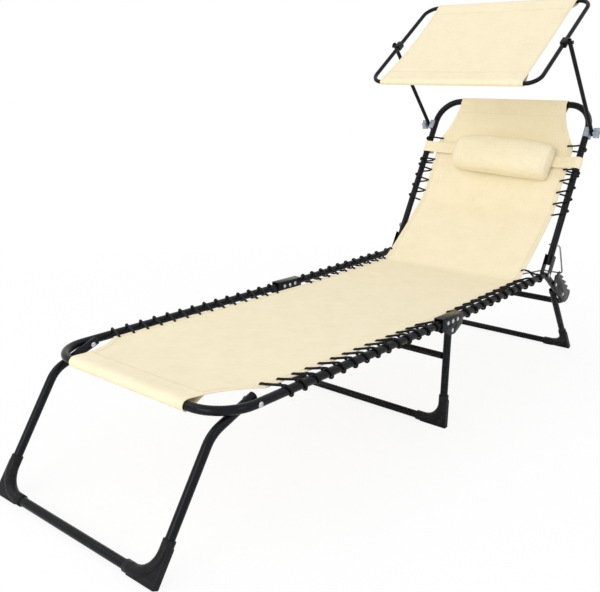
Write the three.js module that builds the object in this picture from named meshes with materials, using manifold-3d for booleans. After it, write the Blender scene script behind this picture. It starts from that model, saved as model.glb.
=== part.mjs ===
// Folding sun lounger with a laced sling, a reclining back and a tilting canopy.
// Millimetres, +Z up. +X is across the lounger, and +Y runs from the feet to the head.
import * as THREE from "three";
import { mergeVertices } from "three/addons/utils/BufferGeometryUtils.js";
import Module from "manifold-3d";

const wasm = await Module();
wasm.setup();

const DEGREE = Math.PI / 180;
const HALF = 0.5;
const QUARTER_TURN = Math.PI * HALF;

// Stock sizes and clearances
const RAIL_RADIUS = 10;
const RAIL_WALL = 1.2;
const UPRIGHT_RADIUS = 10.5;
const CANOPY_TUBE_RADIUS = 6.25;
const CANOPY_TUBE_WALL = 1;
const BRACE_RADIUS = 9;
const BAIL_RADIUS = 2.5;
const CORD_RADIUS = 2.4;
const CLOTH = 2;
const PLATE = 2.2;
const GAP = 0.4;
const RUNNING_GAP = 0.35;
const OVERRUN = 1;
const TUBE_SIDES = 10;
const BORE_SIDES = 6;
const CORD_SIDES = 5;
const WIRE_SIDES = 6;
const ROUND_SEGMENTS = 12;
const RIVET_SEGMENTS = 8;
const ARC_STEP = 22.5 * DEGREE;

// Main layout, seen from the side
const RAIL_X = 280;
const FRONT_BAR_Z = 288.1;
const FOLD_Y = 820.4;
const FOLD_Z = 298.9;
const HINGE_Y = 1413.4;
const HINGE_Z = 319.3;
const BACK_LENGTH = 577.2;
const BACK_ANGLE = 62.9 * DEGREE;
const CORNER_BEND = 90;
const HEAD_BEND = 80;

// Fold brackets over the middle leg
const FOLD_PIVOT_OFFSET = 24;
const FOLD_END_PAST_PIVOT = 4;
const FOLD_PAST_PIVOT = 28;
const FOLD_WEB_CLEAR = 2.6;
const FOLD_CHEEK_GAP = 1;
const FOLD_CHEEK_MARGIN = 4;
const FOLD_PAST_LOW_RIVET = 12;
const FOLD_LOW_RIVET_DROP = 24;
const MIDDLE_LEG_TOP_RISE = 7;

// Legs
const FRONT_LEG_SPACER = 4;
const FRONT_PIVOT_ALONG = 96;
const FRONT_LEG_BEND_Y = -4;
const FRONT_LEG_BEND_Z = 251;
const FRONT_FOOT_Y = -152;
const FRONT_LEG_BEND = 70;
const REAR_LEG_SPACER = 2;
const REAR_PIVOT_BACK = 127.6;
const REAR_PIVOT_DROP = 86.3;
const REAR_FOOT_BACK = 161;
const FOOT_BEND = 58;
const LEG_PAST_PIVOT = 14;
const REAR_BAR_PAST_PIVOT = 76;
const REAR_BAR_BEND = 45;
const SEAT_DROP_BEND = 50;
const BRACE_Z = 199;
const CAP_LENGTH = 3;
const CAP_PLUG = 10;

// Corner boots
const BOOT_WALL = 2.5;
const BOOT_LOOSE = 0.45;
const BOOT_FLAT = 0.65;
const BOOT_SLEEVE = 78;
const BOOT_WEB_HALF = 8;
const BOOT_CORNER_PAST = 0.45;
const BOOT_WEB_LENGTH = 66;

// Ratchet plates. Shares of the rear leg pivot's place, rearward and down from the back hinge.
const RATCHET_GAP = 1;
const RATCHET_SHARES = [
  [0.39, 0.116],
  [0.513, 0.095],
  [0.537, 0.023],
  [0.682, 0.012],
  [0.627, 0.093],
  [0.956, 0.313],
  [0.815, 0.348],
  [1.136, 0.533],
  [1.042, 0.603],
  [1.277, 0.73],
  [1.223, 0.834],
  [1.442, 0.95],
  [1.458, 1.112],
  [1.348, 1.298],
  [1.176, 1.367],
  [1.003, 1.251],
  [0.752, 0.973],
  [0.486, 0.718],
  [0.329, 0.463],
];
const RATCHET_RIVET_SHARE = 0.495;
const NOTCH_SHARES = [0.6685, 0.0846];

// Recline bail, across from the rails and along the uprights
const BAIL_ALONG = 99;
const BAIL_HEAD_CLEAR = 1.9;
const BAIL_PIN_PAST = 5.5;
const BAIL_STEP_IN = 44;
const BAIL_MIDDLE_IN = 130;
const BAIL_BOW_FORWARD = 57;
const BAIL_BOW_DROP = 25;
const BAIL_BEND = 9;
const BAIL_BOW_BEND = 20;

// Back hinge clevis, along and across the upright
const UPRIGHT_START = 34;
const CLEVIS_LAP = 30;
const CLEVIS_WEB_GAP = 0.3;
const CLEVIS_WEB_PAST = 3;
const CLEVIS_ARC_STEPS = 6;

// Sling
const SLING_EDGE_GAP = 24;
const FRONT_HEM_CLEAR = 5;
const HEAD_HEM_CLEAR = 7;
const SLING_DROP = 2;
const FOOT_RISE = 11;
const SLING_SAG = 4;
const HEM_LOOSE = 1.4;
const HEM_LAP = 0.2;
const HEM_TUCK = 0.1;
const SLING_SPLIT = 2;
const FRONT_SCOOP = 152;
const HEAD_SCOOP = 147.2;
const SEAT_CORNER_BEFORE_HINGE = 124;
const SEAT_CORNER_BEND = 51;
const BACK_LINE_START = 205;
const BACK_CORNER_BEND = 120;
const SLING_ACROSS = 8;
// Along the scoop, up from the sling's level to the hem's top, out from the hem's end, and the share of the sag
const FRONT_SCOOP_SHARES = [
  [0, 1, 0, 0],
  [0.18, 0.86, 0.02, 0.1],
  [0.42, 0.58, 0.13, 0.4],
  [0.65, 0.3, 0.39, 0.6],
  [0.86, 0.07, 0.74, 0.8],
  [1, 0, 1, 0.9],
];
const HEAD_SCOOP_SHARES = [
  [1, 0, 1, 1],
  [0.78, 0.14, 0.74, 0.8],
  [0.52, 0.37, 0.3, 0.5],
  [0.25, 0.79, 0.06, 0.2],
  [0, 1, 0, 0],
];
const FOOT_STATION_SHARES = [0.46, 0.73];
const SEAT_STATION_SHARES = [0, 0.33, 0.67];
const DIAGONAL_SPLIT_SHARE = 0.47;
const BACK_STATION_SHARES = [0.46];

// Lacing
const LACE_CORNER = 30 * DEGREE;
const LACE_PAST_HEM = 2.34;
const FOOT_LACE_START = 159;
const FOOT_LACE_PITCH = 43.5;
const FOOT_LACE_MARGIN = 52;
const SEAT_LACE_START = 60;
const SEAT_LACE_PITCH = 44;
const SEAT_LACE_MARGIN = 10;
const BACK_LACE_START = 193;
const BACK_LACE_PITCH = 39.7;
const BACK_LACE_MARGIN = 30;
const HEAD_LACE_BELOW_HEAD = 144.2;
const HEAD_LACE_PITCH = -12;
const RAIL_LACE_CLEAR = 2.4;
const BACK_LACE_CLEAR = 2.5;
const LACE_OVER_HEM = 3;
const LACE_UNDER_HEM = 6.5;
// Along the pitch: on top of the tube, at its outer side twice, under it, and back at the hem
const LACE_SHARES = [0.12, 0.34, 0.56, 0.78, 0.92];

// Pillow and its straps. The strap runs a little lower on the right, and the pillow has slid along it.
const PILLOW_BELOW_HEAD = 206.2;
const PILLOW_OFF_CENTRE = 28;
const PILLOW_TURN = -2.8 * DEGREE;
const PILLOW_LENGTH = 344;
const PILLOW_TALL = 126;
const PILLOW_THICK = 74;
const PILLOW_REST = 1;
const PILLOW_ROUND_SEGMENTS = 24;
const PILLOW_SQUARE_POWER = 0.72;
// Places along the pillow's half length, with the shares of its height and thickness there
const PILLOW_STATION_SHARES = [
  [0, 1, 1],
  [0.5, 0.99, 0.97],
  [0.8, 0.965, 0.87],
  [0.94, 0.92, 0.75],
  [0.985, 0.87, 0.66],
  [1, 0.8, 0.6],
];
const STRAP_BELOW_HEAD = 191.7;
const STRAP_SLANT = 21;
const STRAP_WIDTH = 38;
const STRAP_CLOTH = 1.6;
const STRAP_CLEAR = 1;
const STRAP_REST = 2.5;
const STRAP_END_GAP = 2;
const STRAP_BACK_IN = 22;
const STRAP_ARC_STEPS = 8;

// Clamps, knobs and struts, counted out from the uprights
const CLAMP_BELOW_HEAD = 97.4;
const CLAMP_WALL = 1.75;
const CLAMP_FRONT_WALL = 6.5;
const CLAMP_HUG = 2;
const CLAMP_HALF_LENGTH = 15;
const STRUT_FOOT_UP = 7.8;
const STRUT_GAP = 0.55;
const STRUT_LENGTH = 358.4;
const STRUT_ANGLE = 132.7 * DEGREE;
const STRUT_PAST_PIVOT = 10;
const KNOB_GAP = 1.15;
const KNOB_THICK = 15;
const KNOB_HUB_RADIUS = 12;
const KNOB_LOBE_RADIUS = 5.2;
const KNOB_LOBE_CENTRE = 13.5;
const KNOB_LOBES = 6;
const KNOB_SHANK_RADIUS = 3;
const KNOB_SHANK_IN_CLAMP = 1.8;

// Canopy, counted in from the struts
const CANOPY_ANGLE = 36.7 * DEGREE;
const CANOPY_HALF_LENGTH = 206.4;
const CANOPY_CORNER = 41;
const CANOPY_PIVOT_BACK = 12;
const CANOPY_HEM_CLEAR = 0.6;
const CANOPY_HEM_LOOSE = 0.95;
const CANOPY_SAG = 8;
const CANOPY_SAG_ACROSS_SHARE = 0.5;
const CANOPY_STATION_SHARES = [-1, -0.5, 0, 0.5, 1];
const CLIP_STRUT_GAP = 2.15;
const CLIP_WALL = 1;
const CLIP_TALL_WALL = 2.5;
const CLIP_HALF_LENGTH = 13;
const CLIP_PIN_RADIUS = 2.8;
const CLIP_HEAD_GAP = 1.35;
const CLIP_HEAD_RADIUS = 5.5;
const CLIP_HEAD_THICK = 2.4;

// Rivets and bolts
const RIVET_RADIUS = 3;
const RIVET_HEAD_RADIUS = 5.6;
const RIVET_HEAD_THICK = 2;
const RIVET_HEAD_CROWN = 1;
const COLLAR_RADIUS = 6.5;

// Worked out from the sizes above
const FOLD_HALF_LENGTH = FOLD_PIVOT_OFFSET + FOLD_PAST_PIVOT;
const FOLD_WEB_RISE = RAIL_RADIUS + FOLD_WEB_CLEAR;
const FOLD_CHEEK_DROP = RAIL_RADIUS + FOLD_CHEEK_MARGIN;
const FOLD_CHEEK_CENTRE_DROP = FOLD_LOW_RIVET_DROP + FOLD_PAST_LOW_RIVET;
const BOOT_BORE = RAIL_RADIUS + BOOT_LOOSE;
const BOOT_RADIUS = BOOT_BORE + BOOT_WALL;
const BOOT_CORNER_REACH = BOOT_RADIUS + BOOT_CORNER_PAST;
const FOOT_TUBE_Z = BOOT_RADIUS - BOOT_FLAT;
const FRONT_LEG_X = RAIL_X - 2 * RAIL_RADIUS - FRONT_LEG_SPACER;
const REAR_LEG_X = RAIL_X - 2 * RAIL_RADIUS - REAR_LEG_SPACER;
const RATCHET_IN_X = RAIL_X + RAIL_RADIUS + RATCHET_GAP;
const RATCHET_OUT_X = RATCHET_IN_X + PLATE;
const BAIL_X = RATCHET_OUT_X + GAP + RIVET_HEAD_THICK + BAIL_HEAD_CLEAR + BAIL_RADIUS;
const CLEVIS_END = UPRIGHT_START + CLEVIS_LAP;
const CLEVIS_WEB_START = UPRIGHT_START + CLEVIS_WEB_PAST;
const CLEVIS_HALF = UPRIGHT_RADIUS + CLEVIS_WEB_GAP + PLATE;
const REAR_PIVOT_Y = HINGE_Y + REAR_PIVOT_BACK;
const REAR_PIVOT_Z = HINGE_Z - REAR_PIVOT_DROP;
const SLING_HALF = RAIL_X - RAIL_RADIUS - SLING_EDGE_GAP;
const FRONT_HEM_HALF = RAIL_X - CORNER_BEND - FRONT_HEM_CLEAR;
const HEAD_HEM_HALF = RAIL_X - HEAD_BEND - HEAD_HEM_CLEAR;
const FOOT_LENGTH = Math.hypot(FOLD_Y, FOLD_Z - FRONT_BAR_Z);
const SEAT_LENGTH = Math.hypot(HINGE_Y - FOLD_Y, HINGE_Z - FOLD_Z);
const FOOT_ANGLE = Math.atan2(FOLD_Z - FRONT_BAR_Z, FOLD_Y);
const SEAT_ANGLE = Math.atan2(HINGE_Z - FOLD_Z, HINGE_Y - FOLD_Y);
const CLAMP_ALONG = BACK_LENGTH - CLAMP_BELOW_HEAD;
const CLAMP_BORE = boreFor(UPRIGHT_RADIUS, GAP, TUBE_SIDES);
const CLAMP_HALF = CLAMP_BORE + CLAMP_WALL;
const CLAMP_OUT_X = RAIL_X + CLAMP_HALF;
const STRUT_X = CLAMP_OUT_X + STRUT_GAP + CANOPY_TUBE_RADIUS;
const STRUT_OUT_X = STRUT_X + CANOPY_TUBE_RADIUS;
const CLIP_BORE = boreFor(CANOPY_TUBE_RADIUS, GAP, TUBE_SIDES);
const CLIP_HALF_WIDTH = CLIP_BORE + CLIP_WALL;
const CLIP_HALF_HEIGHT = CLIP_BORE + CLIP_TALL_WALL;
const CANOPY_HALF_WIDTH = STRUT_X - CANOPY_TUBE_RADIUS - CLIP_STRUT_GAP - CLIP_HALF_WIDTH;
const CANOPY_CLOTH_HALF = CANOPY_HALF_WIDTH - CANOPY_CORNER - CANOPY_HEM_CLEAR;
const FOOT_LACES = Math.floor((FOOT_LENGTH - FOOT_LACE_START - FOOT_LACE_MARGIN) / FOOT_LACE_PITCH);
const PILLOW_ALONG = BACK_LENGTH - PILLOW_BELOW_HEAD;
const STRAP_ALONG = BACK_LENGTH - STRAP_BELOW_HEAD;
const SEAT_CORNER = SEAT_LENGTH - SEAT_CORNER_BEFORE_HINGE;
const SEAT_LACES = Math.floor((SEAT_CORNER - SEAT_LACE_START - SEAT_LACE_MARGIN) / SEAT_LACE_PITCH);
const BACK_LACES = Math.floor((STRAP_ALONG - BACK_LACE_START - BACK_LACE_MARGIN) / BACK_LACE_PITCH);

// The scene's groups: each lies along one part of the frame, so Y runs along it and Z is square off it.
const stand = new THREE.Group();
const lounger = group(stand, 0, 0, 0);
const foot = group(lounger, 0, FRONT_BAR_Z, FOOT_ANGLE);
const fold = group(lounger, FOLD_Y, FOLD_Z, 0);
const seat = group(lounger, FOLD_Y, FOLD_Z, SEAT_ANGLE);
const hinge = group(lounger, HINGE_Y, HINGE_Z, 0);
const back = group(lounger, HINGE_Y, HINGE_Z, BACK_ANGLE);
const arms = group(back, CLAMP_ALONG, STRUT_FOOT_UP, STRUT_ANGLE - BACK_ANGLE);
const canopy = group(arms, STRUT_LENGTH, 0, CANOPY_ANGLE - STRUT_ANGLE);
stand.updateMatrixWorld(true);

function group(parent, y, z, angle) {
  const made = new THREE.Group();
  made.position.set(0, y, z);
  made.rotation.x = angle;
  parent.add(made);
  return made;
}

function point(x, y, z) {
  return new THREE.Vector3(x, y, z);
}

// A point of a group, as the lounger's own coordinates.
function inLounger(owner, x, y, z) {
  return owner.localToWorld(point(x, y, z));
}

// A path of stations, each a place and a direction. A swept section has one ring at each.
class Route extends THREE.Curve {
  constructor(stations) {
    super();
    this.stations = stations;
  }

  getUtoTmapping(u) {
    return u;
  }

  station(t) {
    return this.stations[Math.round(t * (this.stations.length - 1))];
  }

  getPoint(t, target = new THREE.Vector3()) {
    return target.copy(this.station(t).place);
  }

  getTangent(t, target = new THREE.Vector3()) {
    return target.copy(this.station(t).direction);
  }
}

// Stations along a polyline whose inner corners are rounded.
function rounded(corners, bends) {
  const stations = [];
  const line = (a, b) => b.clone().sub(a).normalize();
  corners.forEach((here, i) => {
    if (i === 0 || i === corners.length - 1) {
      const direction = i === 0 ? line(here, corners[1]) : line(corners[i - 1], here);
      stations.push({ place: here, direction });
      return;
    }
    const into = line(corners[i - 1], here);
    const out = line(here, corners[i + 1]);
    const turn = into.angleTo(out);
    const bend = Array.isArray(bends) ? bends[i] : bends;
    const start = here.clone().addScaledVector(into, -bend * Math.tan(turn * HALF));
    const inward = out.addScaledVector(into, -into.dot(out)).normalize();
    const middle = start.addScaledVector(inward, bend);
    const steps = Math.max(2, Math.round(turn / ARC_STEP));
    for (let k = 0; k <= steps; k++) {
      const a = (turn * k) / steps;
      const place = middle.clone();
      place.addScaledVector(inward, -bend * Math.cos(a));
      place.addScaledVector(into, bend * Math.sin(a));
      const direction = into.clone().multiplyScalar(Math.cos(a));
      direction.addScaledVector(inward, Math.sin(a));
      stations.push({ place, direction });
    }
  });
  return stations;
}

// Stations at the points of a polyline, with the mean direction at each.
function through(points) {
  return points.map((place, i) => {
    const before = points[Math.max(0, i - 1)];
    const after = points[Math.min(points.length - 1, i + 1)];
    return { place, direction: after.clone().sub(before).normalize() };
  });
}

function lengthened(stations, reach) {
  const first = stations[0];
  const last = stations[stations.length - 1];
  const start = first.place.clone().addScaledVector(first.direction, -reach);
  const end = last.place.clone().addScaledVector(last.direction, reach);
  return [
    { place: start, direction: first.direction },
    ...stations.slice(1, -1),
    { place: end, direction: last.direction },
  ];
}

// A closed solid from a three.js geometry, with its faces pointing out.
function solid(geometry) {
  const bare = geometry.clone();
  bare.deleteAttribute("normal");
  bare.deleteAttribute("uv");
  const merged = mergeVertices(bare);
  const places = merged.getAttribute("position");
  const corners = merged.getIndex().array;
  const faces = [];
  let volume = 0;
  const [a, b, c] = [point(), point(), point()];
  for (let i = 0; i < corners.length; i += 3) {
    const [p, q, r] = [corners[i], corners[i + 1], corners[i + 2]];
    if (p === q || q === r || r === p) continue;
    a.fromBufferAttribute(places, p);
    b.fromBufferAttribute(places, q);
    c.fromBufferAttribute(places, r);
    volume += a.dot(b.cross(c));
    faces.push([p, q, r]);
  }
  const outward = volume > 0 ? faces : faces.map(([p, q, r]) => [p, r, q]);
  return new wasm.Manifold(
    new wasm.Mesh({
      numProp: 3,
      vertProperties: new Float32Array(places.array),
      triVerts: new Uint32Array(outward.flat()),
    }),
  );
}

// The three.js geometry of a solid.
function geometryOf(body) {
  const { vertProperties, triVerts } = body.getMesh();
  const geometry = new THREE.BufferGeometry();
  geometry.setAttribute("position", new THREE.BufferAttribute(vertProperties, 3));
  geometry.setIndex(new THREE.BufferAttribute(triVerts, 1));
  const flat = geometry.toNonIndexed();
  flat.computeVertexNormals();
  return flat;
}

// The same geometry on the other side of the lounger, with its faces still pointing out.
function mirrored(geometry) {
  const other = geometry.clone().scale(-1, 1, 1);
  const places = other.getAttribute("position");
  const [p, q] = [point(), point()];
  for (let i = 0; i < places.count; i += 3) {
    p.fromBufferAttribute(places, i + 1);
    q.fromBufferAttribute(places, i + 2);
    places.setXYZ(i + 1, q.x, q.y, q.z);
    places.setXYZ(i + 2, p.x, p.y, p.z);
  }
  other.computeVertexNormals();
  return other;
}

// A round bar along stations, with flat ends.
function bar(stations, radius, sides) {
  const ring = [];
  for (let k = 0; k < sides; k++) {
    const a = (2 * Math.PI * k) / sides;
    ring.push(new THREE.Vector2(radius * Math.cos(a), radius * Math.sin(a)));
  }
  const extrudePath = new Route(stations);
  const steps = stations.length - 1;
  return solid(new THREE.ExtrudeGeometry(new THREE.Shape(ring), { steps, extrudePath }));
}

// A tube along stations, with open ends.
function pipe(stations, radius, wall) {
  const bore = bar(lengthened(stations, OVERRUN), radius - wall, BORE_SIDES);
  return bar(stations, radius, TUBE_SIDES).subtract(bore);
}

function sideView(outline, lowX, highX) {
  const shape = new THREE.Shape(outline.map(([y, z]) => new THREE.Vector2(y, z)));
  const flat = new THREE.ExtrudeGeometry(shape, { depth: highX - lowX, bevelEnabled: false });
  const [x, y, z] = [point(1, 0, 0), point(0, 1, 0), point(0, 0, 1)];
  return flat.applyMatrix4(new THREE.Matrix4().makeBasis(y, z, x)).translate(lowX, 0, 0);
}

// A side-view outline, made solid from one x to another.
function plateX(outline, lowX, highX) {
  return solid(sideView(outline, lowX, highX));
}

// A turned piece about the X axis. The profile is radius against x.
function turnedX(profile, segments) {
  const points = profile.map(([radius, x]) => new THREE.Vector2(radius, x));
  return solid(new THREE.LatheGeometry(points, segments).rotateZ(-QUARTER_TURN));
}

function pinX(lowX, highX, radius, y, z, segments = RIVET_SEGMENTS) {
  const pin = new THREE.CylinderGeometry(radius, radius, highX - lowX, segments);
  return solid(pin.rotateZ(-QUARTER_TURN).translate((lowX + highX) * HALF, y, z));
}

// The corner radius of a faceted bore whose flats stay a gap away from a round of some radius.
function boreFor(radius, gap, sides) {
  return (radius + gap) / Math.cos(Math.PI / sides);
}

// A cross hole through a tube or plate, wide enough for the rivet to turn in.
function holeX(x, y, z, radius = RIVET_RADIUS) {
  const reach = 3 * RAIL_RADIUS;
  return pinX(x - reach, x + reach, boreFor(radius, RUNNING_GAP, RIVET_SEGMENTS), y, z);
}

// The same hole in both sides of a tube that runs across the lounger.
function holes(x, y, z, radius) {
  return holeX(x, y, z, radius).add(holeX(-x, y, z, radius));
}

// A rivet with a domed head at each end, and a collar between two places if they are given.
function rivet(lowX, highX, collar) {
  const thick = RIVET_HEAD_THICK;
  const flat = RIVET_HEAD_RADIUS - RIVET_HEAD_CROWN;
  const ring = collar
    ? [
        [RIVET_RADIUS, collar[0]],
        [COLLAR_RADIUS, collar[0]],
        [COLLAR_RADIUS, collar[1]],
        [RIVET_RADIUS, collar[1]],
      ]
    : [];
  const profile = [
    [0, lowX - thick],
    [flat, lowX - thick],
    [RIVET_HEAD_RADIUS, lowX - RIVET_HEAD_CROWN],
    [RIVET_HEAD_RADIUS, lowX],
    [RIVET_RADIUS, lowX],
    ...ring,
    [RIVET_RADIUS, highX],
    [RIVET_HEAD_RADIUS, highX],
    [RIVET_HEAD_RADIUS, highX + RIVET_HEAD_CROWN],
    [flat, highX + thick],
    [0, highX + thick],
  ];
  return turnedX(profile, RIVET_SEGMENTS);
}

// A strip of cloth through stations in the side view, each with a half width and a share of the sag.
function cloth(stations, sag) {
  const last = stations.length - 1;
  const strip = new THREE.BoxGeometry(1, 1, 1, SLING_ACROSS, last, 1);
  const places = strip.getAttribute("position");
  const v = point();
  for (let i = 0; i < places.count; i++) {
    v.fromBufferAttribute(places, i);
    const { place, direction, half, hold } = stations[Math.round((v.y + HALF) * last)];
    const share = 2 * v.x;
    const up = v.z * CLOTH - sag * hold * (1 - share * share);
    places.setXYZ(i, half * share, place.y - direction.z * up, place.z + direction.y * up);
  }
  return solid(strip);
}

function hemRadius(barRadius, loose) {
  return barRadius + loose + CLOTH;
}

// How far the cloth's middle lies above a bar's centre line where it runs onto the hem.
function hemTop(barRadius, loose) {
  return hemRadius(barRadius, loose) - HALF * CLOTH - HEM_TUCK;
}

// The hem that runs round a cross bar.
function hem(y, barRadius, loose, half) {
  const radius = hemRadius(barRadius, loose);
  const bore = radius - CLOTH - HEM_LAP;
  const skin = pinX(-half, half, radius, y, 0, ROUND_SEGMENTS);
  return skin.subtract(pinX(-half - OVERRUN, half + OVERRUN, bore, y, 0, ROUND_SEGMENTS));
}

// Both sides of a U-shaped tube, from its right end round to its left.
function bothSides(side) {
  const other = side.map((p) => point(-p.x, p.y, p.z));
  return [...side, ...other.reverse()];
}

// Frame tubes
function footRails() {
  const end = FOOT_LENGTH - FOLD_PIVOT_OFFSET + FOLD_END_PAST_PIVOT;
  const path = bothSides([point(RAIL_X, end, 0), point(RAIL_X, 0, 0)]);
  return pipe(rounded(path, CORNER_BEND), RAIL_RADIUS, RAIL_WALL)
    .subtract(holes(RAIL_X, FOOT_LENGTH - FOLD_PIVOT_OFFSET, 0))
    .subtract(holes(RAIL_X, FRONT_PIVOT_ALONG, 0));
}

function seatRails() {
  const start = inLounger(seat, RAIL_X, FOLD_PIVOT_OFFSET - FOLD_END_PAST_PIVOT, 0);
  const corner = point(RAIL_X, HINGE_Y, HINGE_Z);
  const pivot = point(RAIL_X, REAR_PIVOT_Y, REAR_PIVOT_Z);
  const down = pivot.clone().sub(corner).normalize();
  const end = pivot.clone().addScaledVector(down, REAR_BAR_PAST_PIVOT);
  const bends = [0, SEAT_DROP_BEND, REAR_BAR_BEND, REAR_BAR_BEND, SEAT_DROP_BEND, 0];
  const first = inLounger(seat, RAIL_X, FOLD_PIVOT_OFFSET, 0);
  const [rivetY, rivetZ] = ratchetRivetPlace();
  return pipe(rounded(bothSides([start, corner, end]), bends), RAIL_RADIUS, RAIL_WALL)
    .subtract(holes(RAIL_X, first.y, first.z))
    .subtract(holes(RAIL_X, HINGE_Y, HINGE_Z))
    .subtract(holes(RAIL_X, HINGE_Y + rivetY, HINGE_Z + rivetZ))
    .subtract(holes(RAIL_X, REAR_PIVOT_Y, REAR_PIVOT_Z));
}

function backFrame() {
  const path = bothSides([point(RAIL_X, UPRIGHT_START, 0), point(RAIL_X, BACK_LENGTH, 0)]);
  return pipe(rounded(path, HEAD_BEND), UPRIGHT_RADIUS, RAIL_WALL)
    .subtract(holes(RAIL_X, BAIL_ALONG, 0, BAIL_RADIUS));
}

function frontPivot() {
  return inLounger(foot, FRONT_LEG_X, FRONT_PIVOT_ALONG, 0);
}

function frontLegPath() {
  const pivot = frontPivot();
  const bend = point(FRONT_LEG_X, FRONT_LEG_BEND_Y, FRONT_LEG_BEND_Z);
  const rearward = pivot.clone().sub(bend).normalize();
  const top = pivot.addScaledVector(rearward, LEG_PAST_PIVOT);
  return bothSides([top, bend, point(FRONT_LEG_X, FRONT_FOOT_Y, FOOT_TUBE_Z)]);
}

function frontLegFrame() {
  const bends = [0, FRONT_LEG_BEND, FOOT_BEND, FOOT_BEND, FRONT_LEG_BEND, 0];
  const pivot = frontPivot();
  return pipe(rounded(frontLegPath(), bends), RAIL_RADIUS, RAIL_WALL)
    .subtract(holes(FRONT_LEG_X, pivot.y, pivot.z));
}

function middleLegPath() {
  const top = point(RAIL_X, FOLD_Y, FOLD_Z + MIDDLE_LEG_TOP_RISE);
  return bothSides([top, point(RAIL_X, FOLD_Y, FOOT_TUBE_Z)]);
}

function middleLegFrame() {
  return pipe(rounded(middleLegPath(), FOOT_BEND), RAIL_RADIUS, RAIL_WALL)
    .subtract(holes(RAIL_X, FOLD_Y, FOLD_Z))
    .subtract(holes(RAIL_X, FOLD_Y, FOLD_Z - FOLD_LOW_RIVET_DROP));
}

function middleLegBrace() {
  const end = RAIL_X - RAIL_RADIUS - GAP;
  const path = [point(end, FOLD_Y, BRACE_Z), point(-end, FOLD_Y, BRACE_Z)];
  return pipe(through(path), BRACE_RADIUS, RAIL_WALL);
}

function rearLegPath() {
  const pivot = point(REAR_LEG_X, REAR_PIVOT_Y, REAR_PIVOT_Z);
  const low = point(REAR_LEG_X, REAR_PIVOT_Y + REAR_FOOT_BACK, FOOT_TUBE_Z);
  const up = pivot.clone().sub(low).normalize();
  return bothSides([pivot.addScaledVector(up, LEG_PAST_PIVOT), low]);
}

function rearLegFrame() {
  return pipe(rounded(rearLegPath(), FOOT_BEND), RAIL_RADIUS, RAIL_WALL)
    .subtract(holes(REAR_LEG_X, REAR_PIVOT_Y, REAR_PIVOT_Z));
}

// A boot round the foot corner of a leg frame, squared out past the bend and flat on the floor.
function boot(path, index) {
  const corner = path[index];
  const up = path[index - 1].clone().sub(corner).normalize();
  const inward = point(-1, 0, 0);
  const top = corner.clone().addScaledVector(up, BOOT_SLEEVE);
  const inner = corner.clone().addScaledVector(inward, BOOT_SLEEVE);
  const stations = rounded([top, corner, inner], FOOT_BEND);
  const channel = bar(lengthened(stations, OVERRUN), BOOT_BORE, TUBE_SIDES);
  const floor = new THREE.BoxGeometry(4 * RAIL_X, 4 * BOOT_SLEEVE, BOOT_SLEEVE);
  floor.translate(0, corner.y, -BOOT_SLEEVE * HALF);
  return bar(stations, BOOT_RADIUS, TUBE_SIDES)
    .add(bootWeb(corner, up, inward))
    .subtract(channel)
    .subtract(solid(floor));
}

// The flat web that fills a boot's corner, in the plane of the leg.
function bootWeb(corner, up, inward) {
  const [out, long] = [-BOOT_CORNER_REACH, BOOT_WEB_LENGTH];
  const outline = [
    [out, out],
    [long, out],
    [long, 0],
    [0, long],
    [out, long],
  ];
  const shape = new THREE.Shape(outline.map(([a, b]) => new THREE.Vector2(a, b)));
  const web = new THREE.ExtrudeGeometry(shape, { depth: 2 * BOOT_WEB_HALF, bevelEnabled: false });
  const square = up.clone().cross(inward);
  const place = new THREE.Matrix4().makeBasis(up, inward, square).setPosition(corner);
  return solid(web.translate(0, 0, -BOOT_WEB_HALF).applyMatrix4(place));
}

// A plug in the open top end of a leg.
function legCap(path) {
  const out = path[0].clone().sub(path[1]).normalize();
  const face = path[0].clone().addScaledVector(out, GAP);
  const end = face.clone().addScaledVector(out, CAP_LENGTH);
  const deep = path[0].clone().addScaledVector(out, -CAP_PLUG);
  const stem = (RAIL_RADIUS - RAIL_WALL) * Math.cos(Math.PI / BORE_SIDES) - GAP;
  return bar(through([face, end]), RAIL_RADIUS, TUBE_SIDES)
    .add(bar(through([deep, end]), stem, BORE_SIDES));
}

// Brackets and plates. The fold bracket's outline is counted from the fold.
function foldBracket() {
  const top = FOLD_WEB_RISE + PLATE;
  const outline = [
    [-FOLD_HALF_LENGTH, -FOLD_CHEEK_DROP],
    [-FOLD_CHEEK_DROP, -FOLD_CHEEK_CENTRE_DROP],
    [FOLD_CHEEK_DROP, -FOLD_CHEEK_CENTRE_DROP],
    [FOLD_HALF_LENGTH, -FOLD_CHEEK_DROP],
    [FOLD_HALF_LENGTH, top],
    [-FOLD_HALF_LENGTH, top],
  ];
  const inner = RAIL_RADIUS + FOLD_CHEEK_GAP;
  const outer = inner + PLATE;
  const deep = FOLD_CHEEK_CENTRE_DROP + OVERRUN;
  const slot = new THREE.BoxGeometry(2 * inner, 2 * (FOLD_HALF_LENGTH + OVERRUN), deep + FOLD_WEB_RISE);
  slot.translate(RAIL_X, 0, (FOLD_WEB_RISE - deep) * HALF);
  let bracket = plateX(outline, RAIL_X - outer, RAIL_X + outer).subtract(solid(slot));
  for (const [y, z] of [...foldPivots(), ...fixedRivets()]) {
    bracket = bracket.subtract(holeX(RAIL_X, y, z));
  }
  return bracket;
}

// The fold's two pivots, counted from the fold: the foot section's, then the seat section's.
function foldPivots() {
  return [
    [foot, FOOT_LENGTH - FOLD_PIVOT_OFFSET],
    [seat, FOLD_PIVOT_OFFSET],
  ].map(([row, along]) => {
    const p = inLounger(row, 0, along, 0);
    return [p.y - FOLD_Y, p.z - FOLD_Z];
  });
}

function fixedRivets() {
  return [
    [0, 0],
    [0, -FOLD_LOW_RIVET_DROP],
  ];
}

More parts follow.
